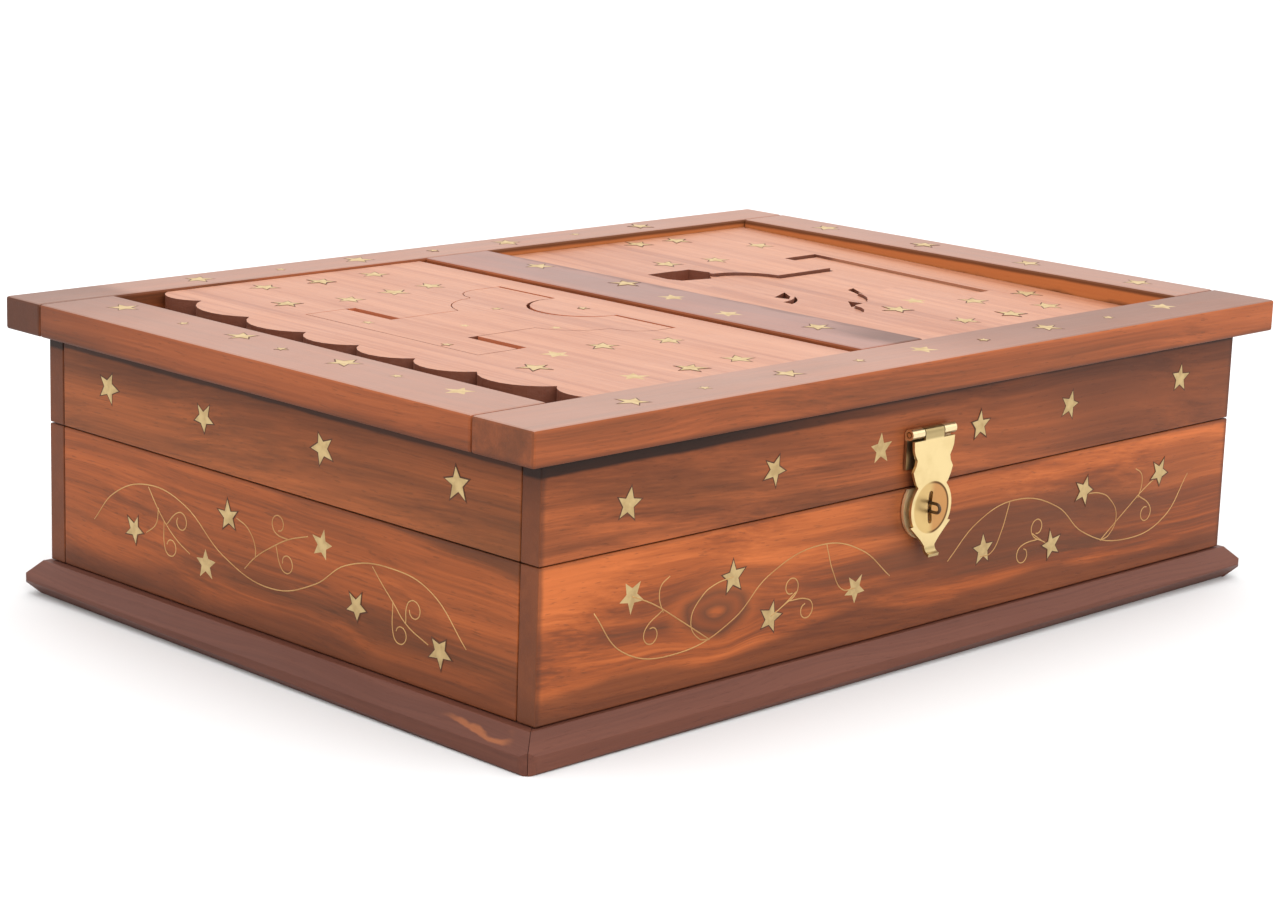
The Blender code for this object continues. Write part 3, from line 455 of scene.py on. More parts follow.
@dataclass(frozen=True)
class WoodFinish:
    """One kind of wood with its polish."""

    name: str
    dark: Colour
    brown: Colour
    body: Colour
    glow: Colour
    along: float = 2.6
    across: float = 250.0
    warp: float = 0.010
    streaks: float = 0.52
    patches: float = 0.5
    smoky: float = 0.0
    saw: float = 0.0
    roughness: float = 0.42
    specular: float = 0.25
    relief: float = 0.00006

    def make(self, effects: SharedEffects, label: str, grain: Grain = Grain.ALONG_X,
             seed: float = 0.0, slope: float = 0.0, stains: Sequence[Stain] = (),
             knot: Knot | None = None) -> bpy.types.Material:
        """Make this finish for one board.

        Args:
            effects: the shared node groups.
            label: the board's name.
            grain: which way its fibres run.
            seed: moves the figure, so that no two boards match.
            slope: how far the streaks run off the board's length.
            stains: patches of darker or paler polish.
            knot: a knot, where the board has one.

        Returns:
            The material.
        """
        made = bpy.data.materials.new(f"{self.name}_{label}")
        made.use_nodes = True
        graph = Graph(made.node_tree)
        shader = graph.tree.nodes["Principled BSDF"]
        where = graph.node("ShaderNodeTexCoord")
        place = where.outputs["Object"]
        source, reach = place, None
        if knot is not None:
            bent = graph.group(effects.knot, Vector=place, Centre=knot.centre, Size=knot.size)
            source, reach = bent["Vector"], bent["Reach"]
        turned = graph.node("ShaderNodeMapping")
        turned.inputs["Rotation"].default_value = (0, 0, math.radians(grain.value))
        turned.inputs["Location"].default_value = (seed * 1.37, seed * 0.71, seed * 0.43)
        graph.feed(turned.inputs["Vector"], source)
        figure = graph.group(effects.grain, Vector=turned.outputs[0], Along=self.along, Across=self.across,
                             Warp=self.warp, Slope=slope)
        lines = graph.group(effects.saw, Vector=turned.outputs[0])
        tone = self.mix_tone(graph, figure, lines)
        shades = (self.dark, self.brown, self.body, self.glow)
        colour = graph.ramp(tone, tuple(zip(TONE_PLACES, shades)))
        if self.smoky:
            smoke_and_shade = graph.math("MULTIPLY", graph.fade(figure["Clouds"], 0.5, 0.72), self.smoky)
            colour = graph.blend(smoke_and_shade, colour, self.dark)
            light = graph.math("MULTIPLY", graph.fade(figure["Clouds"], 0.47, 0.3), self.smoky * 0.7)
            colour = graph.blend(light, colour, self.glow)
        if reach is not None:
            shades = (self.body, self.dark, self.brown, self.dark, self.body)
            rings = graph.ramp(reach, tuple(zip(RING_PLACES, shades)))
            inside = graph.math("MULTIPLY", graph.fade(reach, 1.0, 0.5), 0.95)
            colour = graph.blend(inside, colour, rings)
        colour = graph.blend(graph.math("MULTIPLY", figure["Pores"], 0.35), colour, self.dark)
        colour = lay_stains(graph, place, where.outputs["Normal"], colour, stains)
        graph.feed(shader.inputs["Base Color"], colour)
        shader.inputs["Specular IOR Level"].default_value = self.specular
        handled = graph.group(effects.handling, Vector=place, Scale=28.0)
        gloss = graph.math("ADD", graph.math("MULTIPLY", handled["Smudge"], 0.22), self.roughness - 0.11)
        graph.feed(shader.inputs["Roughness"], gloss)
        self.roughen(graph, shader, figure, lines)
        return made

    def roughen(self, graph: Graph, shader: bpy.types.Node, figure: bpy.types.bpy_prop_collection,
                lines: bpy.types.bpy_prop_collection) -> None:
        """Give the fibres, pores and tool lines their depth."""
        height = graph.math("SUBTRACT", figure["Fibres"], graph.math("MULTIPLY", figure["Pores"], 0.6))
        height = graph.math("ADD", height, graph.math("MULTIPLY", lines["Lines"], 2.2 * self.saw))
        bump = graph.node("ShaderNodeBump")
        bump.inputs["Strength"].default_value = 0.6
        bump.inputs["Distance"].default_value = self.relief
        graph.feed(bump.inputs["Height"], height)
        graph.feed(shader.inputs["Normal"], bump.outputs[0])

    def mix_tone(self, graph: Graph, figure: bpy.types.bpy_prop_collection,
                 lines: bpy.types.bpy_prop_collection) -> bpy.types.NodeSocket:
        """Put the figure's parts together as one tone about 0.5."""
        total = 0.5
        for part, share in ((figure["Streaks"], self.streaks), (figure["Patches"], self.patches),
                            (figure["Fibres"], 0.24), (lines["Lines"], 0.3 * self.saw),
                            (lines["Bands"], 0.22 * self.saw)):
            swing = graph.math("MULTIPLY", graph.math("SUBTRACT", part, 0.5), share)
            total = graph.math("ADD", swing, total)
        return total


@dataclass(frozen=True)
class BrassFinish:
    """Brass: its colour, its polish, and how far it has dulled.

    'pressed' is the middle of a pressed dish, whose far half is painted brown as shade.
    """

    name: str
    bright: Colour
    dull: Colour
    roughness: float = 0.3
    dulled: float = 0.3
    scale: float = 160.0
    pressed: tuple[float, float, float] | None = None
    hollow: Colour = (0.60, 0.40, 0.15)
    # Painted shade on the far half of the dish.
    far_half_shade: Colour = (0.50, 0.24, 0.085)
    stains: tuple[Stain, ...] = ()

    def make(self, effects: SharedEffects) -> bpy.types.Material:
        """Make the brass.

        Args:
            effects: the shared node groups.

        Returns:
            The material.
        """
        made = bpy.data.materials.new(self.name)
        made.use_nodes = True
        graph = Graph(made.node_tree)
        shader = graph.tree.nodes["Principled BSDF"]
        where = graph.node("ShaderNodeTexCoord")
        place = where.outputs["Object"]
        worn = graph.group(effects.handling, Vector=place, Scale=self.scale)
        film = graph.fade(worn["Smudge"], 0.35, 0.7)
        colour = graph.blend(graph.math("MULTIPLY", film, self.dulled), self.bright, self.dull)
        colour = graph.blend(graph.math("MULTIPLY", worn["Specks"], 0.5), colour, self.dull)
        if self.pressed is not None:
            colour = self.shade_the_dish(graph, place, worn["Smudge"], colour)
        colour = lay_stains(graph, place, where.outputs["Normal"], colour, self.stains)
        graph.feed(shader.inputs["Base Color"], colour)
        shader.inputs["Metallic"].default_value = 1.0
        gloss = graph.math("ADD", graph.math("MULTIPLY", film, 0.12), self.roughness)
        gloss = graph.math("ADD", gloss, graph.math("MULTIPLY", worn["Scratch"], 0.1))
        graph.feed(shader.inputs["Roughness"], gloss)
        bump = graph.node("ShaderNodeBump")
        bump.inputs["Strength"].default_value = 0.35
        bump.inputs["Distance"].default_value = 0.00003
        graph.feed(bump.inputs["Height"], graph.math("SUBTRACT", worn["Smudge"], worn["Scratch"]))
        graph.feed(shader.inputs["Normal"], bump.outputs[0])
        return made

    def shade_the_dish(self, graph: Graph, place: bpy.types.NodeSocket, smudge: bpy.types.NodeSocket,
                       colour: bpy.types.NodeSocket) -> bpy.types.NodeSocket:
        """Paint shade on the far half of the dish, as brown, with a painted shadow line round its foot."""
        away = graph.vector("MULTIPLY", graph.vector("SUBTRACT", place, self.pressed), (1.0, 0.0, 1.0))
        reach = graph.length(away)
        inside = graph.fade(reach, 7.3 * MM, 6.9 * MM)
        across = graph.math("ADD", graph.split(away)[0], graph.math("MULTIPLY", smudge, 2.4 * MM))
        colour = graph.blend(graph.math("MULTIPLY", inside, 0.85), colour, self.hollow)
        brown = graph.math("MULTIPLY", inside, graph.fade(across, 0.2 * MM, 3.0 * MM))
        colour = graph.blend(graph.math("MULTIPLY", brown, 0.9), colour, self.far_half_shade)
        # Painted shadow of the dish's rim, on its far side.
        line = graph.math("MULTIPLY", inside, graph.fade(reach, 6.3 * MM, 6.8 * MM))
        line = graph.math("MULTIPLY", line, graph.fade(across, -1.0 * MM, 3.0 * MM))
        return graph.blend(graph.math("MULTIPLY", line, 0.8), colour, BLACK_SHADE_AND_STAIN)


# Near black: painted shade under the lid frame, partly black polish, a painted shadow line in the hasp's
# dish, and a dark line along the top of the bay walls.
BLACK_SHADE_AND_STAIN: Colour = (0.020, 0.010, 0.007)
UMBER: Colour = (0.075, 0.026, 0.014)
END_GRAIN: Colour = (0.13, 0.042, 0.019)
ORANGE: Colour = (0.47, 0.15, 0.045)
# Bright red-orange: painted light on the upper walls of the narrow jigsaw slots, where shade falls.
SLOT_WALL_LIGHT: Colour = (0.62, 0.17, 0.07)
ROUGH_RED: Colour = (0.14, 0.040, 0.022)
SAPWOOD: Colour = (0.56, 0.165, 0.048)
# Painted shade on the hasp leaf: its knuckle, dark with the reflected wood, and its tail.
SHADED_LEAF_BRASS: Colour = (0.34, 0.25, 0.11)
SHADED_BRASS: Colour = (0.20, 0.11, 0.06)

# Pale pink tints laid over upward faces as painted glare, the white room's reflection at a grazing view; the
# second is dimmer.
TOP_GLARE_TINT: Colour = (0.335, 0.207, 0.162)
DIM_GLARE_TINT: Colour = (0.27, 0.175, 0.155)

WALL_WOOD = WoodFinish("wall_wood", dark=(0.110, 0.038, 0.018), brown=(0.190, 0.050, 0.018),
                       body=(0.310, 0.078, 0.022), glow=(0.50, 0.132, 0.036), streaks=0.62, smoky=0.85,
                       specular=0.12)
SMOKED_WALL = replace(WALL_WOOD, name="smoked_wall", dark=(0.085, 0.034, 0.015),
                      brown=(0.155, 0.048, 0.018), body=(0.235, 0.068, 0.022),
                      glow=(0.40, 0.108, 0.032), streaks=0.36, smoky=0.75)
RIM_WOOD = replace(WALL_WOOD, name="rim_wood", dark=(0.090, 0.032, 0.014), brown=(0.160, 0.046, 0.018),
                   body=(0.250, 0.068, 0.023), glow=(0.43, 0.114, 0.034), smoky=0.75)
EMBER_WALL = replace(SMOKED_WALL, name="ember_wall", dark=(0.085, 0.031, 0.014), brown=(0.170, 0.048, 0.017),
                     body=(0.275, 0.071, 0.021), glow=(0.45, 0.115, 0.031), streaks=0.45)
FRAME_WOOD = WoodFinish("frame_wood", dark=(0.090, 0.034, 0.015), brown=(0.160, 0.047, 0.018),
                        body=(0.240, 0.064, 0.022), glow=(0.36, 0.096, 0.031), streaks=0.5,
                        smoky=0.6, saw=0.4, specular=0.14)
SIDE_RAIL_WOOD = replace(FRAME_WOOD, name="side_rail_wood", dark=(0.080, 0.030, 0.013),
                         brown=(0.140, 0.041, 0.016), body=(0.205, 0.054, 0.019),
                         glow=(0.30, 0.080, 0.026))
PANEL_WOOD = WoodFinish("panel_wood", dark=(0.25, 0.090, 0.046), brown=(0.32, 0.120, 0.060),
                        body=(0.37, 0.152, 0.080), glow=(0.43, 0.185, 0.098), streaks=0.4, patches=0.4,
                        saw=1.1, specular=0.5)
PLINTH_WOOD = WoodFinish("plinth_wood", dark=(0.078, 0.026, 0.016), brown=(0.096, 0.032, 0.020),
                         body=(0.116, 0.039, 0.024), glow=(0.150, 0.051, 0.030), streaks=0.4, patches=0.4,
                         roughness=0.5, specular=0.2)
BARE_WOOD = WoodFinish("bare_wood", dark=(0.24, 0.12, 0.06), brown=(0.36, 0.19, 0.095),
                       body=(0.46, 0.26, 0.135), glow=(0.56, 0.34, 0.18), streaks=0.5, patches=0.4, saw=0.6,
                       roughness=0.6, specular=0.2)
SHEET_BRASS = BrassFinish("sheet_brass", bright=(0.84, 0.64, 0.35), dull=(0.66, 0.45, 0.21), roughness=0.28)
LEAF_BRASS = BrassFinish("leaf_brass", bright=(0.75, 0.58, 0.29), dull=(0.60, 0.44, 0.20), roughness=0.3,
                         pressed=(0.0, 0.0, 0.0436),
                         # Painted shade on the leaf's knuckle and on its tail.
                         stains=(Stain(SHADED_LEAF_BRASS, (Limit(Way.Z, 62.2 * MM, 62.9 * MM),), 0.8),
                                 Stain(SHADED_LEAF_BRASS, (Limit(Way.Z, 33.2 * MM, 32.4 * MM),), 0.6)))
FIXED_BRASS = BrassFinish("fixed_brass", bright=(0.90, 0.72, 0.42), dull=(0.70, 0.50, 0.25), roughness=0.35,
                          stains=(Stain(SHADED_BRASS, (Limit(Way.Z, 62.9 * MM, 62.3 * MM),), 0.8),
                                  Stain(SHADED_BRASS, (UNDERSIDES,), 0.7)))
DARK_BRASS = BrassFinish("dark_brass", bright=(0.14, 0.09, 0.06), dull=(0.06, 0.04, 0.025), roughness=0.35,
                         dulled=0.8)
# A paler copy of the brass for the staple plate: painted light on a plate that sits in shade.
LIT_BRASS = BrassFinish("lit_brass", bright=(0.98, 0.80, 0.50), dull=(0.80, 0.60, 0.32), roughness=0.5)
INLAY_BRASS = BrassFinish("inlay_brass", bright=(0.56, 0.41, 0.20), dull=(0.38, 0.26, 0.12), roughness=0.45,
                          dulled=0.6, scale=300.0)
WIRE_BRASS = BrassFinish("wire_brass", bright=(0.56, 0.34, 0.14), dull=(0.40, 0.20, 0.08), roughness=0.5,
                         dulled=0.7, scale=60.0)
FILLER = WoodFinish("filler", dark=(0.05, 0.02, 0.012), brown=(0.07, 0.028, 0.016), body=(0.09, 0.036, 0.02),
                    glow=(0.12, 0.05, 0.028), streaks=0.5, patches=0.3, roughness=0.6, specular=0.15)


# ---- workbench -----------------------------------------------------------
def dress(piece: bpy.types.Object, *materials: bpy.types.Material) -> None:
    """Give a piece its materials; every face keeps to the first."""
    piece.data.materials.clear()
    for material in materials:
        piece.data.materials.append(material)


def report(piece: bpy.types.Object) -> None:
    """Log one finished piece."""
    LOG.info("%s: %d faces", piece.name, len(piece.data.polygons))


def choose(pieces: Iterable[bpy.types.Object]) -> None:
    """Select these pieces only, and make the first one active."""
    bpy.ops.object.select_all(action="DESELECT")
    chosen = list(pieces)
    for piece in chosen:
        piece.select_set(True)
    bpy.context.view_layer.objects.active = chosen[0]


def settle(piece: bpy.types.Object) -> None:
    """Put a piece's place, turn and size into its mesh."""
    choose([piece])
    bpy.ops.object.transform_apply(location=True, rotation=True, scale=True)


def join_up(name: str, parts: Sequence[bpy.types.Object]) -> bpy.types.Object:
    """Join parts to one piece.

    Args:
        name: the piece's name.
        parts: the parts; they may be turned and placed.

    Returns:
        The piece, with its place in its mesh.
    """
    choose(parts)
    bpy.ops.object.transform_apply(location=True, rotation=True, scale=True)
    if len(parts) > 1:
        bpy.ops.object.join()
    piece = bpy.context.active_object
    piece.name = name
    piece.data.name = name
    return piece


def slice_off(point: Vector, outward: Vector) -> None:
    """Cut the mesh in hand with a plane and close the cut; what lies outward goes."""
    bpy.ops.mesh.select_all(action="SELECT")
    bpy.ops.mesh.bisect(plane_co=point, plane_no=outward.normalized(), use_fill=True, clear_outer=True,
                        threshold=0.0001 * MM)


@dataclass
class Boards:
    """The wooden boards that keep their cut shape and take a better finish."""

    frame: dict
    effects: SharedEffects

    def finish(self, node: str, wood: WoodFinish, **settings: object) -> bpy.types.Object:
        """Dress one board in its wood.

        Args:
            node: the board's name.
            wood: its finish.
            **settings: grain, seed, slope, stains and knot, as WoodFinish.make takes them.

        Returns:
            The board.
        """
        piece = self.frame["nodes"][node]
        dress(piece, wood.make(self.effects, node, **settings))
        report(piece)
        return piece


@dataclass
class Carcass:
    """Walls and bottom of the box, and the rim of the lid."""

    boards: Boards
    out_x: float = 140.6 * MM
    foot: float = 9.5 * MM
    split: float = 49.3 * MM
    under_frame: float = 75.8 * MM

    def build(self) -> None:
        """Dress the eight walls and the bottom board."""
        top, foot, split = self.under_frame, self.foot, self.split
        # Painted shade under the lid frame's overhang, partly black polish: a black band just below the
        # frame, wider towards the left of the long walls and thinner on the ends, and below it a soft darker
        # band that is partly the wood's smoky tone and partly painted shade.
        shade = Stain(BLACK_SHADE_AND_STAIN, (Limit(Way.Z, top - 2.9 * MM, top - 2.1 * MM),), 0.85, 0.8 * MM)
        deep_shade = Stain(BLACK_SHADE_AND_STAIN, (Limit(Way.Z, top - 5.4 * MM, top - 4.4 * MM),
                                       Limit(Way.X, 50 * MM, -90 * MM)), 0.93, 1.0 * MM)
        thin_shade = Stain(BLACK_SHADE_AND_STAIN, (Limit(Way.Z, top - 4.6 * MM, top - 3.8 * MM),), 0.8, 1.0 * MM)
        smoke_and_shade = Stain(UMBER, (Limit(Way.Z, top - 17 * MM, top - 4 * MM),), 0.4, 3 * MM, 22 * MM)
        dusk = Stain(UMBER, (Limit(Way.X, 10 * MM, 90 * MM),), 0.55, 5 * MM, 70 * MM)
        dark_foot = Stain(UMBER, (Limit(Way.Z, foot + 8 * MM, foot + 4.5 * MM),), 0.7, 1.5 * MM, 22 * MM)
        side_foot = Stain(UMBER, (Limit(Way.Z, foot + 11 * MM, foot + 5 * MM),), 0.65, 2 * MM, 26 * MM)
        pale = Stain(SAPWOOD, (Limit(Way.X, -105 * MM, -70 * MM), Limit(Way.X, 25 * MM, -25 * MM),
                               Limit(Way.Z, 22 * MM, 34 * MM), Limit(Way.Z, 47 * MM, 40 * MM)),
                     0.1, 5 * MM, 26 * MM)
        near_end = Limit(Way.OUT_X, self.out_x - 2.2 * MM, self.out_x - 0.5 * MM)
        corner = Stain(UMBER, (near_end,), 0.6, 1.4 * MM)
        end = Stain(END_GRAIN, (END_FACES,), 0.7)
        seam = Stain(UMBER, (Limit(Way.Z, split - 1.4 * MM, split - 0.3 * MM),), 0.5, 0.9 * MM)
        knot = Knot((-0.079, 0.0, 0.0275), 11 * MM)
        finish, sides = self.boards.finish, {"grain": Grain.ALONG_Y}
        lower, side_lower = (dark_foot, seam), (side_foot, seam)
        upper, side_upper = (smoke_and_shade, dusk, shade, deep_shade), (smoke_and_shade, thin_shade)
        finish("base_wall_front", WALL_WOOD, seed=0.3, slope=0.05, stains=(pale, *lower, corner, end),
               knot=knot)
        finish("base_wall_back", WALL_WOOD, seed=1.9, slope=-0.05, stains=(*lower, corner, end))
        finish("base_wall_left", EMBER_WALL, seed=2.6, slope=0.03, stains=side_lower, **sides)
        finish("base_wall_right", EMBER_WALL, seed=3.7, stains=side_lower, **sides)
        finish("lid_wall_front", RIM_WOOD, seed=4.1, slope=0.05, stains=(corner, end, *upper))
        finish("lid_wall_back", RIM_WOOD, seed=5.3, stains=(corner, end, *upper))
        finish("lid_wall_left", SMOKED_WALL, seed=6.9, slope=-0.04, stains=side_upper, **sides)
        finish("lid_wall_right", SMOKED_WALL, seed=7.7, stains=side_upper, **sides)
        finish("bottom_board", BARE_WOOD, seed=8.1)


TRAY_BOARDS = ("tray_floor", "tray_partition", "left_batten_front", "left_batten_back",
               "right_batten_front", "right_batten_back")


@dataclass
class TopFrame:
    """Rails and divider on the lid, with the tray parts under them."""

    boards: Boards
    top: float = 85 * MM
    bay_front: float = -85.4 * MM
    right_bay: float = 14.8 * MM

    def build(self) -> None:
        """Dress the rails, the divider and the tray."""
        finish = self.boards.finish
        end = Stain(END_GRAIN, (END_FACES,), 0.5)
        foot = Stain(UMBER, (Limit(Way.NORMAL_Z, 0.5, 0.1), Limit(Way.Z, 77.6 * MM, 76.2 * MM)),
                     0.5, 1.2 * MM)
        # Painted glare on the top faces of the rails.
        top_glare = Stain(TOP_GLARE_TINT, (TOP_FACES,), 0.66)
        dusk = Stain(UMBER, (TOP_FACES, Limit(Way.X, -30 * MM, 70 * MM)), 0.45, 5 * MM, 60 * MM)
        far_corner = Stain(UMBER, (Limit(Way.Y, 40 * MM, 100 * MM), Limit(Way.X, -120 * MM, -130 * MM)),
                           0.45, 4 * MM, 30 * MM)
        finish("frame_rail_front", FRAME_WOOD, seed=10.2, slope=0.03, stains=(end, foot, top_glare, dusk))
        in_bay = Limit(Way.X, self.right_bay, self.right_bay + 0.5 * MM)
        # Painted light on the inner walls of the right bay.
        glow = self.bay_wall(TURNED_FORWARD, in_bay)
        dark_end = Stain(UMBER, (END_FACES,), 0.85)
        finish("frame_rail_back", FRAME_WOOD, seed=11.4, slope=-0.04,
               stains=(dark_end, foot, top_glare, far_corner, *glow))
        sides = {"grain": Grain.ALONG_Y}
        finish("frame_rail_left", SIDE_RAIL_WOOD, seed=12.6, stains=(foot, top_glare, far_corner), **sides)
        glow = self.bay_wall(TURNED_LEFT, in_bay)
        finish("frame_rail_right", SIDE_RAIL_WOOD, seed=13.6, stains=(foot, top_glare, *glow), **sides)
        near_end = Stain(UMBER, (Limit(Way.Y, self.bay_front + 40 * MM, self.bay_front + 8 * MM),
                                 Limit(Way.X, -2 * MM, 8 * MM)), 0.7, 5 * MM, 16 * MM)
        # Dimmer painted glare on the divider's top.
        dim_top_glare = Stain(DIM_GLARE_TINT, (TOP_FACES,), 0.66)
        far_edge = Stain(UMBER, (Limit(Way.X, 11.5 * MM, 13.8 * MM),), 0.4, 9 * MM)
        finish("frame_divider", FRAME_WOOD, seed=14.8, stains=(dim_top_glare, near_end, far_edge), **sides)
        for number, node in enumerate(TRAY_BOARDS):
            finish(node, BARE_WOOD, seed=20.0 + number)

    def bay_wall(self, *faces: Limit) -> tuple[Stain, ...]:
        """Painted light on one inner wall of a bay: bright orange, ragged and darker below, with a dark line
        along its top.
        """
        bright = Stain(ORANGE, faces, 0.85)
        low = Limit(Way.Z, self.top - 4.4 * MM, self.top - 6.4 * MM)
        high = Limit(Way.Z, self.top - 2.0 * MM, self.top - 1.1 * MM)
        ragged_lower_edge = Stain(UMBER, (*faces, low), 0.6, 7 * MM)
        line = Stain(BLACK_SHADE_AND_STAIN, (*faces, high), 0.7, 0.8 * MM)
        return bright, ragged_lower_edge, line


@dataclass(frozen=True)
class Corner:
    """One outer corner of the plinth and how far its lower edge is worn away there."""

    side_x: int
    side_y: int
    worn: float


PLINTH_SIDES = (("front", 0, -1), ("back", 0, 1), ("left", 1, -1), ("right", 1, 1))


@dataclass
class Plinth:
    """The four mouldings of the plinth, worn along their lower edges."""

    frame: dict
    effects: SharedEffects
    inner: Point = (134.1 * MM, 93.4 * MM)
    reach: Point = (13.5 * MM, 11.5 * MM)
    lip: float = 4.7 * MM
    ledge: float = 0.64
    height: float = 9.5 * MM
    mitre_gap: float = 0.1 * MM
    softness: float = 0.25 * MM
    corner_radius: float = 4 * MM
    corner_facets: tuple[float, ...] = (60, 30, 5)
    corners: tuple[Corner, ...] = (Corner(-1, -1, 0.5 * MM), Corner(1, -1, 4.4 * MM),
                                   Corner(-1, 1, 4.3 * MM), Corner(1, 1, 4.4 * MM))

    def build(self) -> None:
        """Shape, dress and attach the four mouldings."""
        scuff = Stain(ORANGE, (Limit(Way.Y, -70 * MM, -80 * MM), Limit(Way.Y, -98 * MM, -92 * MM),
                               Limit(Way.X, -134 * MM, -137 * MM), Limit(Way.Z, 6.2 * MM, 7.0 * MM),
                               Limit(Way.Z, 8.4 * MM, 7.6 * MM)), 0.4, 9 * MM)
        for number, (name, along, side) in enumerate(PLINTH_SIDES):
            piece = self.shape(f"plinth_{name}_moulding", along, side)
            grain = Grain.ALONG_X if along == 0 else Grain.ALONG_Y
            dress(piece, PLINTH_WOOD.make(self.effects, name, grain=grain, seed=30.0 + number,
                                          stains=(scuff,)))
            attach(piece, Body.BASE.value)
            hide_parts(f"plinth_{name}")
            report(piece)

    def shape(self, name: str, along: int, side: int) -> bpy.types.Object:
        """Saw one moulding out of a bar.

        Args:
            name: the piece's name.
            along: 0 for a moulding along X, 1 for one along Y.
            side: -1 or +1, on the other axis.

        Returns:
            The moulding.
        """
        outer = [inner + reach for inner, reach in zip(self.inner, self.reach)]
        across = 1 - along
        low, high = [0.0, 0.0, 0.0], [0.0, 0.0, self.height]
        low[along], high[along] = -outer[along], outer[along]
        low[across], high[across] = sorted((side * self.inner[across], side * outer[across]))
        low, high = Vector(low), Vector(high)
        bpy.ops.object.select_all(action="DESELECT")
        bpy.ops.mesh.primitive_cube_add(size=1, location=(low + high) / 2, scale=high - low)
        piece = bpy.context.active_object
        piece.name = piece.data.name = name
        settle(piece)
        bpy.ops.object.mode_set(mode="EDIT")
        self.slope_top(across, side, outer)
        self.wear_foot(along, side, outer)
        bpy.ops.mesh.select_all(action="SELECT")
        bpy.ops.mesh.bevel(offset=self.softness, segments=3, affect="EDGES", clamp_overlap=True)
        for end in (-1, 1):
            self.mitre(along, side, end)
            self.round_corner(along, side, end, outer)
        bpy.ops.mesh.select_all(action="SELECT")
        bpy.ops.mesh.remove_doubles(threshold=0.001 * MM)
        bpy.ops.mesh.normals_make_consistent(inside=False)
        bpy.ops.object.mode_set(mode="OBJECT")
        choose([piece])
        bpy.ops.object.shade_smooth_by_angle(angle=math.radians(30))
        return piece

    def slope_top(self, across: int, side: int, outer: Sequence[float]) -> None:
        """Plane the sloped top between the lip and the ledge."""
        point, outward = Vector((0, 0, self.lip)), Vector((0, 0, 0))
        point[across] = side * outer[across]
        outward[across] = side * (self.height - self.lip)
        outward.z = (1 - self.ledge) * self.reach[across]
        slice_off(point, outward)

    def wear_foot(self, along: int, side: int, outer: Sequence[float]) -> None:
        """Wear the lower outer edge away, more at one end than at the other."""
        across = 1 - along
        worn = {}
        for corner in self.corners:
            place = (corner.side_x, corner.side_y)
            if place[across] == side:
                worn[place[along]] = corner.worn
        point, run, down = Vector((0, 0, worn[-1])), Vector((0, 0, worn[1] - worn[-1])), Vector((0, 0, -1))
        point[along], point[across] = -outer[along], side * outer[across]
        run[along] = 2 * outer[along]
        down[across] = -side
        outward = run.cross(down)
        if outward.z > 0:
            outward.negate()
        slice_off(point, outward)

    def mitre(self, along: int, side: int, end: int) -> None:
        """Cut one end on the line between the inner and the outer corner."""
        across = 1 - along
        point, run = Vector((0, 0, 0)), Vector((0, 0, 0))
        point[along], point[across] = end * (self.inner[along] - self.mitre_gap), side * self.inner[across]
        run[along], run[across] = end * self.reach[along], side * self.reach[across]
        outward = run.cross(Vector((0, 0, 1)))
        if outward[along] * end < 0:
            outward.negate()
        slice_off(point, outward)

    def round_corner(self, along: int, side: int, end: int, outer: Sequence[float]) -> None:
        """Round this moulding's share of the outer corner."""
        across = 1 - along
        centre = Vector((0, 0, 0))
        centre[along] = end * (outer[along] - self.corner_radius)
        centre[across] = side * (outer[across] - self.corner_radius)
        for degrees in self.corner_facets:
            outward = Vector((0, 0, 0))
            outward[along] = end * math.sin(math.radians(degrees))
            outward[across] = side * math.cos(math.radians(degrees))
            slice_off(centre + outward * self.corner_radius, outward)


@dataclass
class PuzzlePanels:
    """The two panels of the lid and the jigsaw pieces let into them."""

    boards: Boards

    def build(self) -> None:
        """Dress the panels and their pieces."""
        walls = Stain(ROUGH_RED, (CUT_FACES,), 0.9)
        depth = Stain(ROUGH_RED, (Limit(Way.Z, 79.6 * MM, 79.3 * MM),), 0.7)
        # Painted light on the upper cut walls of the left panel's jigsaw slots, against the shade in the
        # narrow gaps.
        lit_slot_walls = Stain(SLOT_WALL_LIGHT, (CUT_FACES, Limit(Way.Z, 82.2 * MM, 83.4 * MM),
                               Limit(Way.X, -104 * MM, -102 * MM)), 0.75, 1.5 * MM)
        # Painted light: a shaded seam wall of the right panel takes the panel's own colour, so the gap
        # hardly shows.
        lit_seam_wall = Stain(PANEL_WOOD.body, (TURNED_LEFT, Limit(Way.X, 112.3 * MM, 113.2 * MM),
                                         Limit(Way.Y, 37 * MM, 33 * MM)), 0.85)
        for node, seed, stains in (("left_sliding_panel", 40.0, (walls, depth, lit_slot_walls)),
                                   ("left_jigsaw_piece", 40.0, (walls,)),
                                   ("right_lift_out_panel", 41.0, (walls, lit_seam_wall)),
                                   ("right_jigsaw_piece", 41.0, (walls,))):
            self.boards.finish(node, PANEL_WOOD, grain=Grain.ALONG_Y, seed=seed, stains=stains)


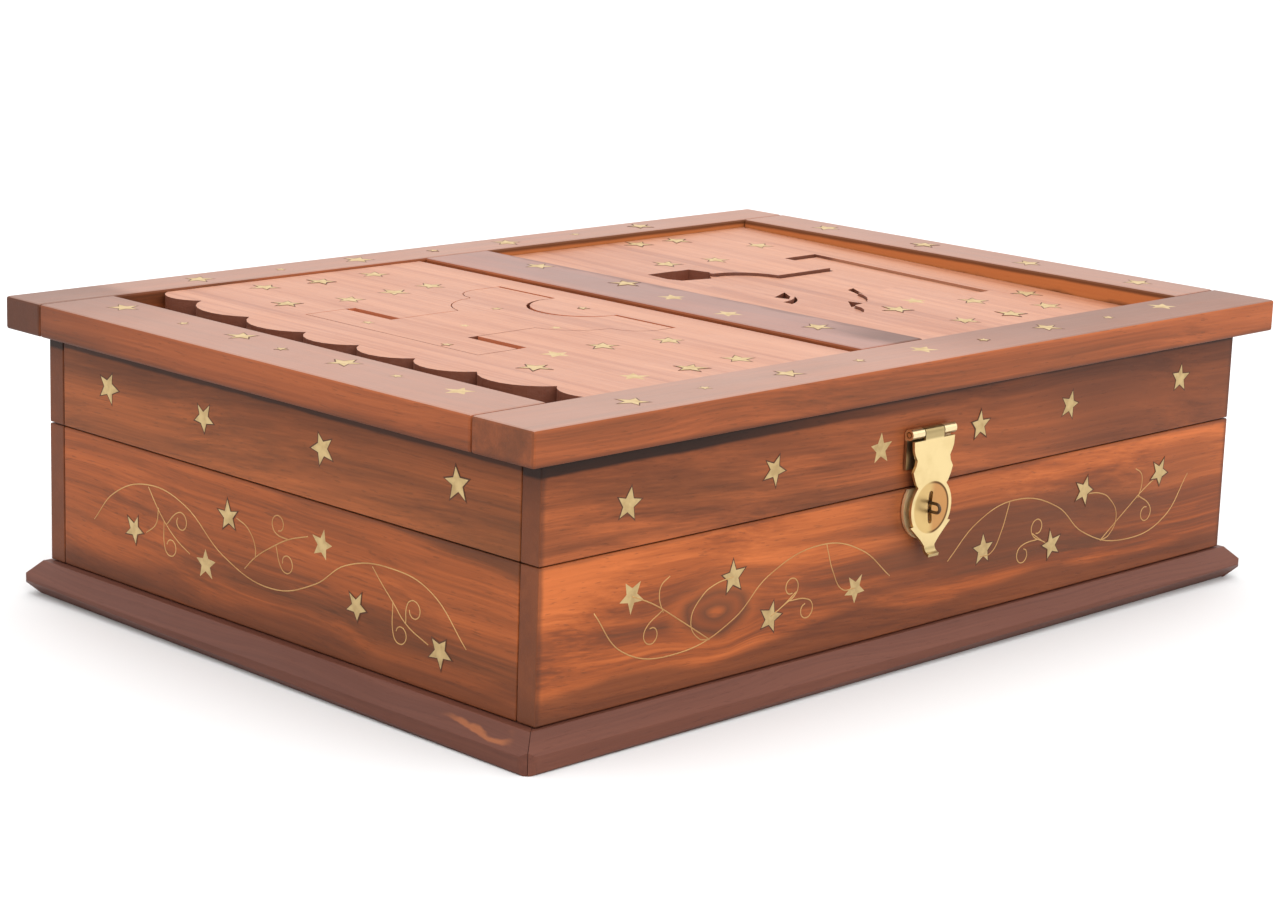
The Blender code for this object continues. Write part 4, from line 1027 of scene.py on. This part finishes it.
# ---- inlays --------------------------------------------------------------
@dataclass(frozen=True)
class Face:
    """A flat face that brass is let into, with its own two directions."""

    name: str
    body: Body
    origin: tuple[float, float, float]
    across: tuple[float, float, float]
    up: tuple[float, float, float]
    wood: Slot
    flip: float = 1.0

    def matrix(self, u: float, v: float, turn: float = 0.0) -> Matrix:
        """Return the place of an inlay.

        Args:
            u: distance along the face, in millimetres.
            v: distance up the face, in millimetres.
            turn: its turn on the face, in radians.

        Returns:
            The matrix that takes the workbench to the face.
        """
        across, up = Vector(self.across), Vector(self.up)
        point = Vector(self.origin) + across * (self.flip * u * MM) + up * (v * MM)
        normal = across.cross(up).normalized()
        square = normal.cross(across).normalized()
        axes = Matrix((across, square, normal)).transposed().to_4x4()
        return Matrix.Translation(point) @ axes @ Matrix.Rotation(turn, 4, "Z")


@dataclass(frozen=True)
class Curl:
    """A small curl of wire: where it leaves a branch, its middle, and which way it winds."""

    start: Point
    centre: Point
    winds: int = 1


OUT_X, OUT_Y, TOP = 140.6 * MM, 99.9 * MM, 85.0 * MM
LEAN = 3.6 / 176.4
ALONG_X, ALONG_Y, UPRIGHT = (1.0, 0.0, 0.0), (0.0, 1.0, 0.0), (0.0, 0.0, 1.0)
BACKWARD_X, BACKWARD_Y = (-1.0, 0.0, 0.0), (0.0, -1.0, 0.0)
FRAME_TOP = Face("frame", Body.LID, (0.0, 0.0, TOP), ALONG_X, ALONG_Y, Slot.FRAME)
LEFT_PANEL_TOP = Face("left_panel", Body.LEFT_PANEL, (0.0, 0.0, TOP - 0.8 * MM), ALONG_X, ALONG_Y,
                      Slot.PANEL)
LEFT_PIECE_TOP = Face("left_piece", Body.LEFT_PIECE, (0.0, 0.0, TOP - 0.8 * MM), ALONG_X, ALONG_Y,
                      Slot.PANEL)
RIGHT_PANEL_TOP = Face("right_panel", Body.RIGHT_PANEL, (0.0, 0.0, TOP - 2.6 * MM - LEAN * 91 * MM), ALONG_X,
                       (0.0, 1.0, LEAN), Slot.PANEL)
SIDE_FACES = (("front", (0.0, -OUT_Y, 0.0), ALONG_X, 1.0), ("back", (0.0, OUT_Y, 0.0), BACKWARD_X, -1.0),
              ("left", (-OUT_X, 0.0, 0.0), BACKWARD_Y, -1.0), ("right", (OUT_X, 0.0, 0.0), ALONG_Y, 1.0))

RAIL_STARS: Sequence[Point] = (
    (-134, 74), (-133.5, 23), (-134, -20), (-134, -63), (-108.5, -97), (-51.5, -96),
    (2.5, -95.5), (56.5, -95), (112, -93.5), (8, 60), (8, 23), (3, -1), (-2.5, -28.5),
    (3.5, -57), (-90, 98.5), (-30, 99), (30, 98.5), (90, 99), (140.5, 62), (140.5, 20),
    (140.5, -22), (140.5, -64))
RAIL_DOTS: Sequence[Point] = (
    (-135, 46), (-136, 3), (-134.5, -40.5), (-82, -96), (-23.5, -95.5), (26.5, -96.5),
    (84, -95.5), (-60, 98.5), (0, 99), (60, 98.5))
LEFT_PANEL_STARS: Sequence[Point] = (
    (-80, 81), (-61, 79), (-40, 80), (-91.5, 56.5), (-72.5, 52), (-54.5, 54), (-39, 56),
    (-80, -40), (-62, -39.5), (-42, -44), (-96.5, -50), (-83.5, -73), (-64, -74), (-45, -72.5))
LEFT_PANEL_DOTS: Sequence[Point] = ((-27.5, 4),)
LEFT_PIECE_DOTS: Sequence[Point] = ((-91, 22), (-48, 17.5), (-72.5, 3.5), (-94.5, -14), (-54, -13))
RIGHT_PANEL_STARS: Sequence[Point] = (
    (75, 85), (91, 83), (109, 63), (58, 55), (77, 52), (80, -27), (96, -37), (65, -33),
    (120, -38), (70, -55), (90, -56), (110, -54))
FRONT_UPPER: Sequence[Point] = (
    (-111, 60.5), (-59.5, 61.5), (-18, 61.5), (23, 62.5), (62.5, 63), (115, 64.5))
FRONT_LOWER: Sequence[Point] = (
    (-109, 37), (-73, 36), (-58.5, 23), (-26, 25), (27, 27), (58, 23.5), (71.5, 37), (107.5, 37.5))
SIDE_UPPER: Sequence[Point] = ((72, 63.5), (29.5, 63), (-19.5, 63.5), (-70.5, 64))
SIDE_LOWER: Sequence[Point] = (
    (60.5, 26.5), (19, 38.5), (28.5, 23), (-19.5, 38.5), (-33.5, 25.5), (-65.5, 20.5))
FRONT_SCROLL: Sequence[Sequence[Point]] = (
    ((-122, 35), (-112, 23.5), (-92, 19.5), (-72, 25), (-60, 34), (-40, 39), (-24, 35), (-12, 26)),
    ((-109, 37), (-102, 34), (-92, 28), (-81, 21)),
    ((-73, 36), (-80, 35), (-84, 33), (-88, 27), (-85, 22), (-81, 21)),
    ((-98, 31), (-99.5, 35), (-99, 38), (-96, 40)),
    ((-58.5, 23), (-54, 25), (-49, 28)),
    ((-38, 39), (-37, 36), (-35, 31), (-31, 25.5), (-26, 25)))
FRONT_CURLS: Sequence[Curl] = (Curl((-98.5, 31.5), (-102, 26)), Curl((-54, 25), (-51, 29.5)),
                               Curl((-52, 26), (-45, 22.5), -1))
SIDE_SCROLL: Sequence[Sequence[Point]] = (
    ((79, 25.5), (70, 34.5), (54, 40), (38, 37.5), (21, 27), (1, 22.5), (-17, 27.5), (-29, 35), (-47, 38),
     (-62, 35), (-75, 23.5)),
    ((54, 39.5), (50.5, 35), (46, 30.5), (41, 27), (35.5, 24.5)),
    ((49.5, 34.5), (50.5, 30), (55, 26.5)),
    ((12, 25.5), (7.5, 29.5), (1, 33.5), (-6, 37), (-14, 39.5)),
    ((15.5, 38.5), (10.5, 36.5), (7.5, 32), (7.5, 29.5)),
    ((-39.5, 37), (-43, 33.5), (-47.5, 29.5), (-52.5, 25), (-61, 21.5)))
SIDE_CURLS: Sequence[Curl] = (Curl((46, 30.5), (39.5, 32.5)), Curl((47, 31.5), (44, 24.7), -1),
                              Curl((-6, 37), (-2, 40.3)), Curl((-1, 34.5), (-5.5, 30.5), -1),
                              Curl((-52.5, 25), (-55.5, 29)), Curl((-47.5, 29.5), (-50.5, 21.8), -1))


@dataclass
class StarCutter:
    """Cuts five-pointed stars and dots out of brass sheet, each a little uneven."""

    radius: float = 4.25 * MM
    waist: float = 0.44
    dot_radius: float = 1.7 * MM
    sheet: float = 0.35 * MM
    patterns: int = 6
    stars: list[bpy.types.Object] = field(default_factory=list)
    dots: list[bpy.types.Object] = field(default_factory=list)

    def __post_init__(self) -> None:
        """Cut the patterns that every inlay is copied from."""
        for seed in range(self.patterns):
            self.stars.append(self.cut(f"star_pattern_{seed}", self.radius, 0.3 * MM, seed))
            self.dots.append(self.cut(f"dot_pattern_{seed}", self.dot_radius, 0.25 * MM, seed))

    def cut(self, name: str, radius: float, uneven: float, seed: int) -> bpy.types.Object:
        """Cut one star.

        Args:
            name: the pattern's name.
            radius: from its middle to its points.
            uneven: how far the file has strayed.
            seed: which way it has strayed.

        Returns:
            The star, with its face on the workbench's level.
        """
        bpy.ops.object.select_all(action="DESELECT")
        bpy.ops.mesh.primitive_circle_add(vertices=10, radius=radius, fill_type="NGON")
        star = bpy.context.active_object
        star.name = name
        for part in (star.data.edges, star.data.polygons):
            for item in part:
                item.select = False
        for index, vertex in enumerate(star.data.vertices):
            vertex.select = index % 2 == 1
        bpy.ops.object.mode_set(mode="EDIT")
        bpy.ops.mesh.select_mode(type="VERT")
        bpy.ops.transform.resize(value=(self.waist, self.waist, 1))
        bpy.ops.mesh.select_all(action="SELECT")
        bpy.ops.transform.vertex_random(offset=uneven, uniform=0.0, normal=0.0, seed=seed)
        bpy.ops.transform.resize(value=(1, 1, 0))
        bpy.ops.mesh.extrude_region_move(TRANSFORM_OT_translate={"value": (0, 0, self.sheet)})
        bpy.ops.mesh.select_all(action="SELECT")
        bpy.ops.mesh.normals_make_consistent(inside=False)
        bpy.ops.object.mode_set(mode="OBJECT")
        return star

    def clear_away(self) -> None:
        """Take the patterns off the workbench."""
        choose([*self.stars, *self.dots])
        bpy.ops.object.delete()


@dataclass
class Inlays:
    """Brass stars, dots and wires let into the wood, with dark filler round the stars."""

    effects: SharedEffects
    proud: float = 0.07 * MM
    filler_proud: float = 0.035 * MM
    filler_size: float = 1.2
    wire: float = 0.17 * MM
    wire_height: float = 0.4
    curl_radius: float = 2.5
    curl_first: float = 75.0
    curl_step: float = 42.0
    curl_steps: int = 9
    chance: random.Random = field(default_factory=lambda: random.Random(7))
    brass: bpy.types.Material = field(init=False)
    wire_brass: bpy.types.Material = field(init=False)
    filler: bpy.types.Material = field(init=False)
    cutter: StarCutter = field(init=False)

    def build(self) -> None:
        """Let every inlay into its face."""
        self.brass = INLAY_BRASS.make(self.effects)
        self.wire_brass = WIRE_BRASS.make(self.effects)
        self.filler = FILLER.make(self.effects, "round_the_stars")
        self.cutter = StarCutter()
        self.set_stars(FRAME_TOP, RAIL_STARS, RAIL_DOTS)
        self.set_stars(LEFT_PANEL_TOP, LEFT_PANEL_STARS, LEFT_PANEL_DOTS)
        self.set_stars(LEFT_PIECE_TOP, (), LEFT_PIECE_DOTS)
        self.set_stars(RIGHT_PANEL_TOP, RIGHT_PANEL_STARS, ())
        for name, origin, across, flip in SIDE_FACES:
            long_side = name in ("front", "back")
            rim = Face(f"{name}_rim", Body.LID, origin, across, UPRIGHT, Slot.WALL, flip)
            wall = Face(f"{name}_wall", Body.BASE, origin, across, UPRIGHT, Slot.WALL, flip)
            self.set_stars(rim, FRONT_UPPER if long_side else SIDE_UPPER, ())
            self.set_stars(wall, FRONT_LOWER if long_side else SIDE_LOWER, ())
            if long_side:
                self.lay_wires(wall, FRONT_SCROLL, FRONT_CURLS, (1, -1))
            else:
                self.lay_wires(wall, SIDE_SCROLL, SIDE_CURLS, (1,))
        self.cutter.clear_away()

    def set_stars(self, face: Face, stars: Sequence[Point], dots: Sequence[Point]) -> None:
        """Let stars and dots into one face, and the dark filler under them."""
        brass, filler = [], []
        for patterns, places in ((self.cutter.stars, stars), (self.cutter.dots, dots)):
            for u, v in places:
                pattern = self.chance.choice(patterns)
                place = face.matrix(u, v, self.chance.uniform(0, math.tau))
                size = self.chance.uniform(0.92, 1.05)
                depth = self.proud - self.cutter.sheet
                brass.append(self.copy_of(pattern, place, size, depth))
                depth = self.filler_proud - self.cutter.sheet
                filler.append(self.copy_of(pattern, place, size * self.filler_size, depth))
        self.hand_over(join_up(f"{face.name}_stars", brass), face.body, self.brass, Slot.BRASS)
        self.hand_over(join_up(f"{face.name}_star_filler", filler), face.body, self.filler, face.wood)

    @staticmethod
    def copy_of(pattern: bpy.types.Object, place: Matrix, size: float, depth: float) -> bpy.types.Object:
        """Copy a pattern, mesh and all, to its place."""
        copy = pattern.copy()
        copy.data = pattern.data.copy()
        bpy.context.scene.collection.objects.link(copy)
        scale = Matrix.Diagonal((size, size, 1, 1))
        copy.matrix_world = place @ Matrix.Translation((0, 0, depth)) @ scale
        return copy

    def lay_wires(self, face: Face, lines: Sequence[Sequence[Point]], curls: Sequence[Curl],
                  sides: Sequence[int]) -> None:
        """Hammer the scroll's wires into one face, mirrored where the scroll has two halves."""
        wires = []
        for side in sides:
            for line in lines:
                wires.append(self.bend_wire([(side * u, v) for u, v in line]))
            for curl in curls:
                wires.append(self.bend_wire([(side * u, v) for u, v in self.wind(curl)]))
        for wire in wires:
            wire.matrix_world = face.matrix(0, 0) @ Matrix.Diagonal((face.flip, 1, self.wire_height, 1))
        piece = join_up(f"{face.name}_wires", wires)
        choose([piece])
        bpy.ops.object.mode_set(mode="EDIT")
        bpy.ops.mesh.select_all(action="SELECT")
        bpy.ops.mesh.remove_doubles(threshold=0.001 * MM)
        bpy.ops.mesh.normals_make_consistent(inside=False)
        bpy.ops.object.mode_set(mode="OBJECT")
        self.hand_over(piece, face.body, self.wire_brass, Slot.BRASS)

    def wind(self, curl: Curl) -> list[Point]:
        """Return the line of a curl that leaves its branch and winds once round its centre."""
        (start_u, start_v), (u, v) = curl.start, curl.centre
        first = math.atan2(start_v - v, start_u - u) + curl.winds * math.radians(self.curl_first)
        points = [curl.start]
        for step in range(self.curl_steps):
            angle = first + curl.winds * math.radians(self.curl_step) * step
            radius = self.curl_radius * (1.1 - 0.05 * step)
            points.append((u + radius * math.cos(angle), v + radius * math.sin(angle)))
        return points

    def bend_wire(self, line: Sequence[Point]) -> bpy.types.Object:
        """Bend one wire along a smooth line of points, in millimetres."""
        bpy.ops.object.select_all(action="DESELECT")
        bpy.ops.curve.primitive_bezier_curve_add(location=(0, 0, 0))
        wire = bpy.context.active_object
        shape = wire.data
        shape.bevel_depth = self.wire
        shape.bevel_resolution = 2
        shape.resolution_u = 8
        shape.use_fill_caps = True
        spline = shape.splines[0]
        spline.bezier_points.add(len(line) - 2)
        for point, (u, v) in zip(spline.bezier_points, line):
            point.co = (u * MM, v * MM, 0)
            point.handle_left_type = point.handle_right_type = "AUTO"
        bpy.ops.object.convert(target="MESH")
        return bpy.context.active_object

    @staticmethod
    def hand_over(piece: bpy.types.Object, body: Body, material: bpy.types.Material, slot: Slot) -> None:
        """Dress a piece and let it ride its body."""
        dress(piece, material)
        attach(piece, body.value)
        report(piece)


@dataclass
class Brasswork:
    """Hinges, hasp and staple."""

    frame: dict
    effects: SharedEffects

    def build(self) -> None:
        """Dress the brass nodes."""
        brass = SHEET_BRASS.make(self.effects)
        special = {"hasp_leaf": LEAF_BRASS.make(self.effects), "staple": DARK_BRASS.make(self.effects),
                   "staple_plate": LIT_BRASS.make(self.effects),
                   "hasp_fixed_leaf": FIXED_BRASS.make(self.effects)}
        for part in self.frame["record"]["subparts"]:
            if part["material_slot"] == Slot.BRASS.value:
                piece = self.frame["nodes"][part["node"]]
                dress(piece, special.get(piece.name, brass))
                report(piece)


# ---- studio --------------------------------------------------------------
@dataclass
class Studio:
    """Floor, light and camera."""

    camera_place: tuple[float, float, float] = (-0.6324, -0.6175, 0.2407)
    camera_target: tuple[float, float, float] = (0.0025, 0.0091, 0.0356)
    camera_roll: float = 1.93
    lens: float = 88.05
    horizon: float = 1.0
    zenith: float = 2.5
    floor_size: float = 30.0
    floor_colour: Colour = (0.66, 0.66, 0.66)
    lamp_place: tuple[float, float, float] = (-0.45, -1.05, 0.7)
    lamp_target: tuple[float, float, float] = (0.0, 0.0, 0.04)
    lamp_size: Point = (0.9, 0.6)
    lamp_power: float = 4.0

    def build(self) -> None:
        """Set up the whole studio."""
        self.lay_floor()
        self.light_room()
        self.place_camera()
        bpy.context.scene.view_settings.view_transform = "Standard"

    def lay_floor(self) -> None:
        """A plain pale floor at the height the box stands on."""
        bpy.ops.object.select_all(action="DESELECT")
        bpy.ops.mesh.primitive_plane_add(size=self.floor_size, location=(0, 0, 0))
        floor = bpy.context.active_object
        floor.name = "floor"
        made = bpy.data.materials.new("pale_floor")
        made.use_nodes = True
        shader = made.node_tree.nodes["Principled BSDF"]
        shader.inputs["Base Color"].default_value = paint(self.floor_colour)
        shader.inputs["Roughness"].default_value = 0.9
        shader.inputs["Specular IOR Level"].default_value = 0.1
        dress(floor, made)

    def light_room(self) -> None:
        """White walls all round, brighter overhead, and one large soft lamp in front."""
        world = bpy.data.worlds.new("white_studio")
        bpy.context.scene.world = world
        world.use_nodes = True
        graph = Graph(world.node_tree)
        background = graph.tree.nodes["Background"]
        height = graph.split(graph.node("ShaderNodeTexCoord").outputs["Generated"])[2]
        lift = graph.fade(height, 0.15, 1.0)
        level = graph.math("ADD", graph.math("MULTIPLY", lift, self.zenith - self.horizon), self.horizon)
        graph.feed(background.inputs["Strength"], level)
        background.inputs["Color"].default_value = (1, 1, 1, 1)
        lamp = bpy.data.lights.new("front_softbox", "AREA")
        lamp.shape = "RECTANGLE"
        lamp.size, lamp.size_y = self.lamp_size
        lamp.energy = self.lamp_power
        holder = bpy.data.objects.new("front_softbox", lamp)
        bpy.context.scene.collection.objects.link(holder)
        holder.location = self.lamp_place
        aim = Vector(self.lamp_target) - holder.location
        holder.rotation_euler = aim.to_track_quat("-Z", "Y").to_euler()

    def place_camera(self) -> None:
        """A long lens just above the corner between the front and the left end."""
        lens = bpy.data.cameras.new("camera")
        lens.lens = self.lens
        lens.sensor_width = 36
        lens.clip_start, lens.clip_end = 0.01, 100
        camera = bpy.data.objects.new("camera", lens)
        bpy.context.scene.collection.objects.link(camera)
        place, target = Vector(self.camera_place), Vector(self.camera_target)
        aim = (target - place).to_track_quat("-Z", "Y").to_matrix().to_4x4()
        roll = Matrix.Rotation(math.radians(self.camera_roll), 4, "Z")
        camera.matrix_world = Matrix.Translation(place) @ aim @ roll
        bpy.context.scene.camera = camera


def main() -> None:
    """Build the looks of the box, piece by piece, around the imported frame."""
    logging.basicConfig(level=logging.INFO, format="%(message)s")
    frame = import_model()
    effects = SharedEffects()
    boards = Boards(frame, effects)
    Carcass(boards).build()
    TopFrame(boards).build()
    Plinth(frame, effects).build()
    PuzzlePanels(boards).build()
    Inlays(effects).build()
    Brasswork(frame, effects).build()
    Studio().build()


if __name__ == "__main__":
    main()
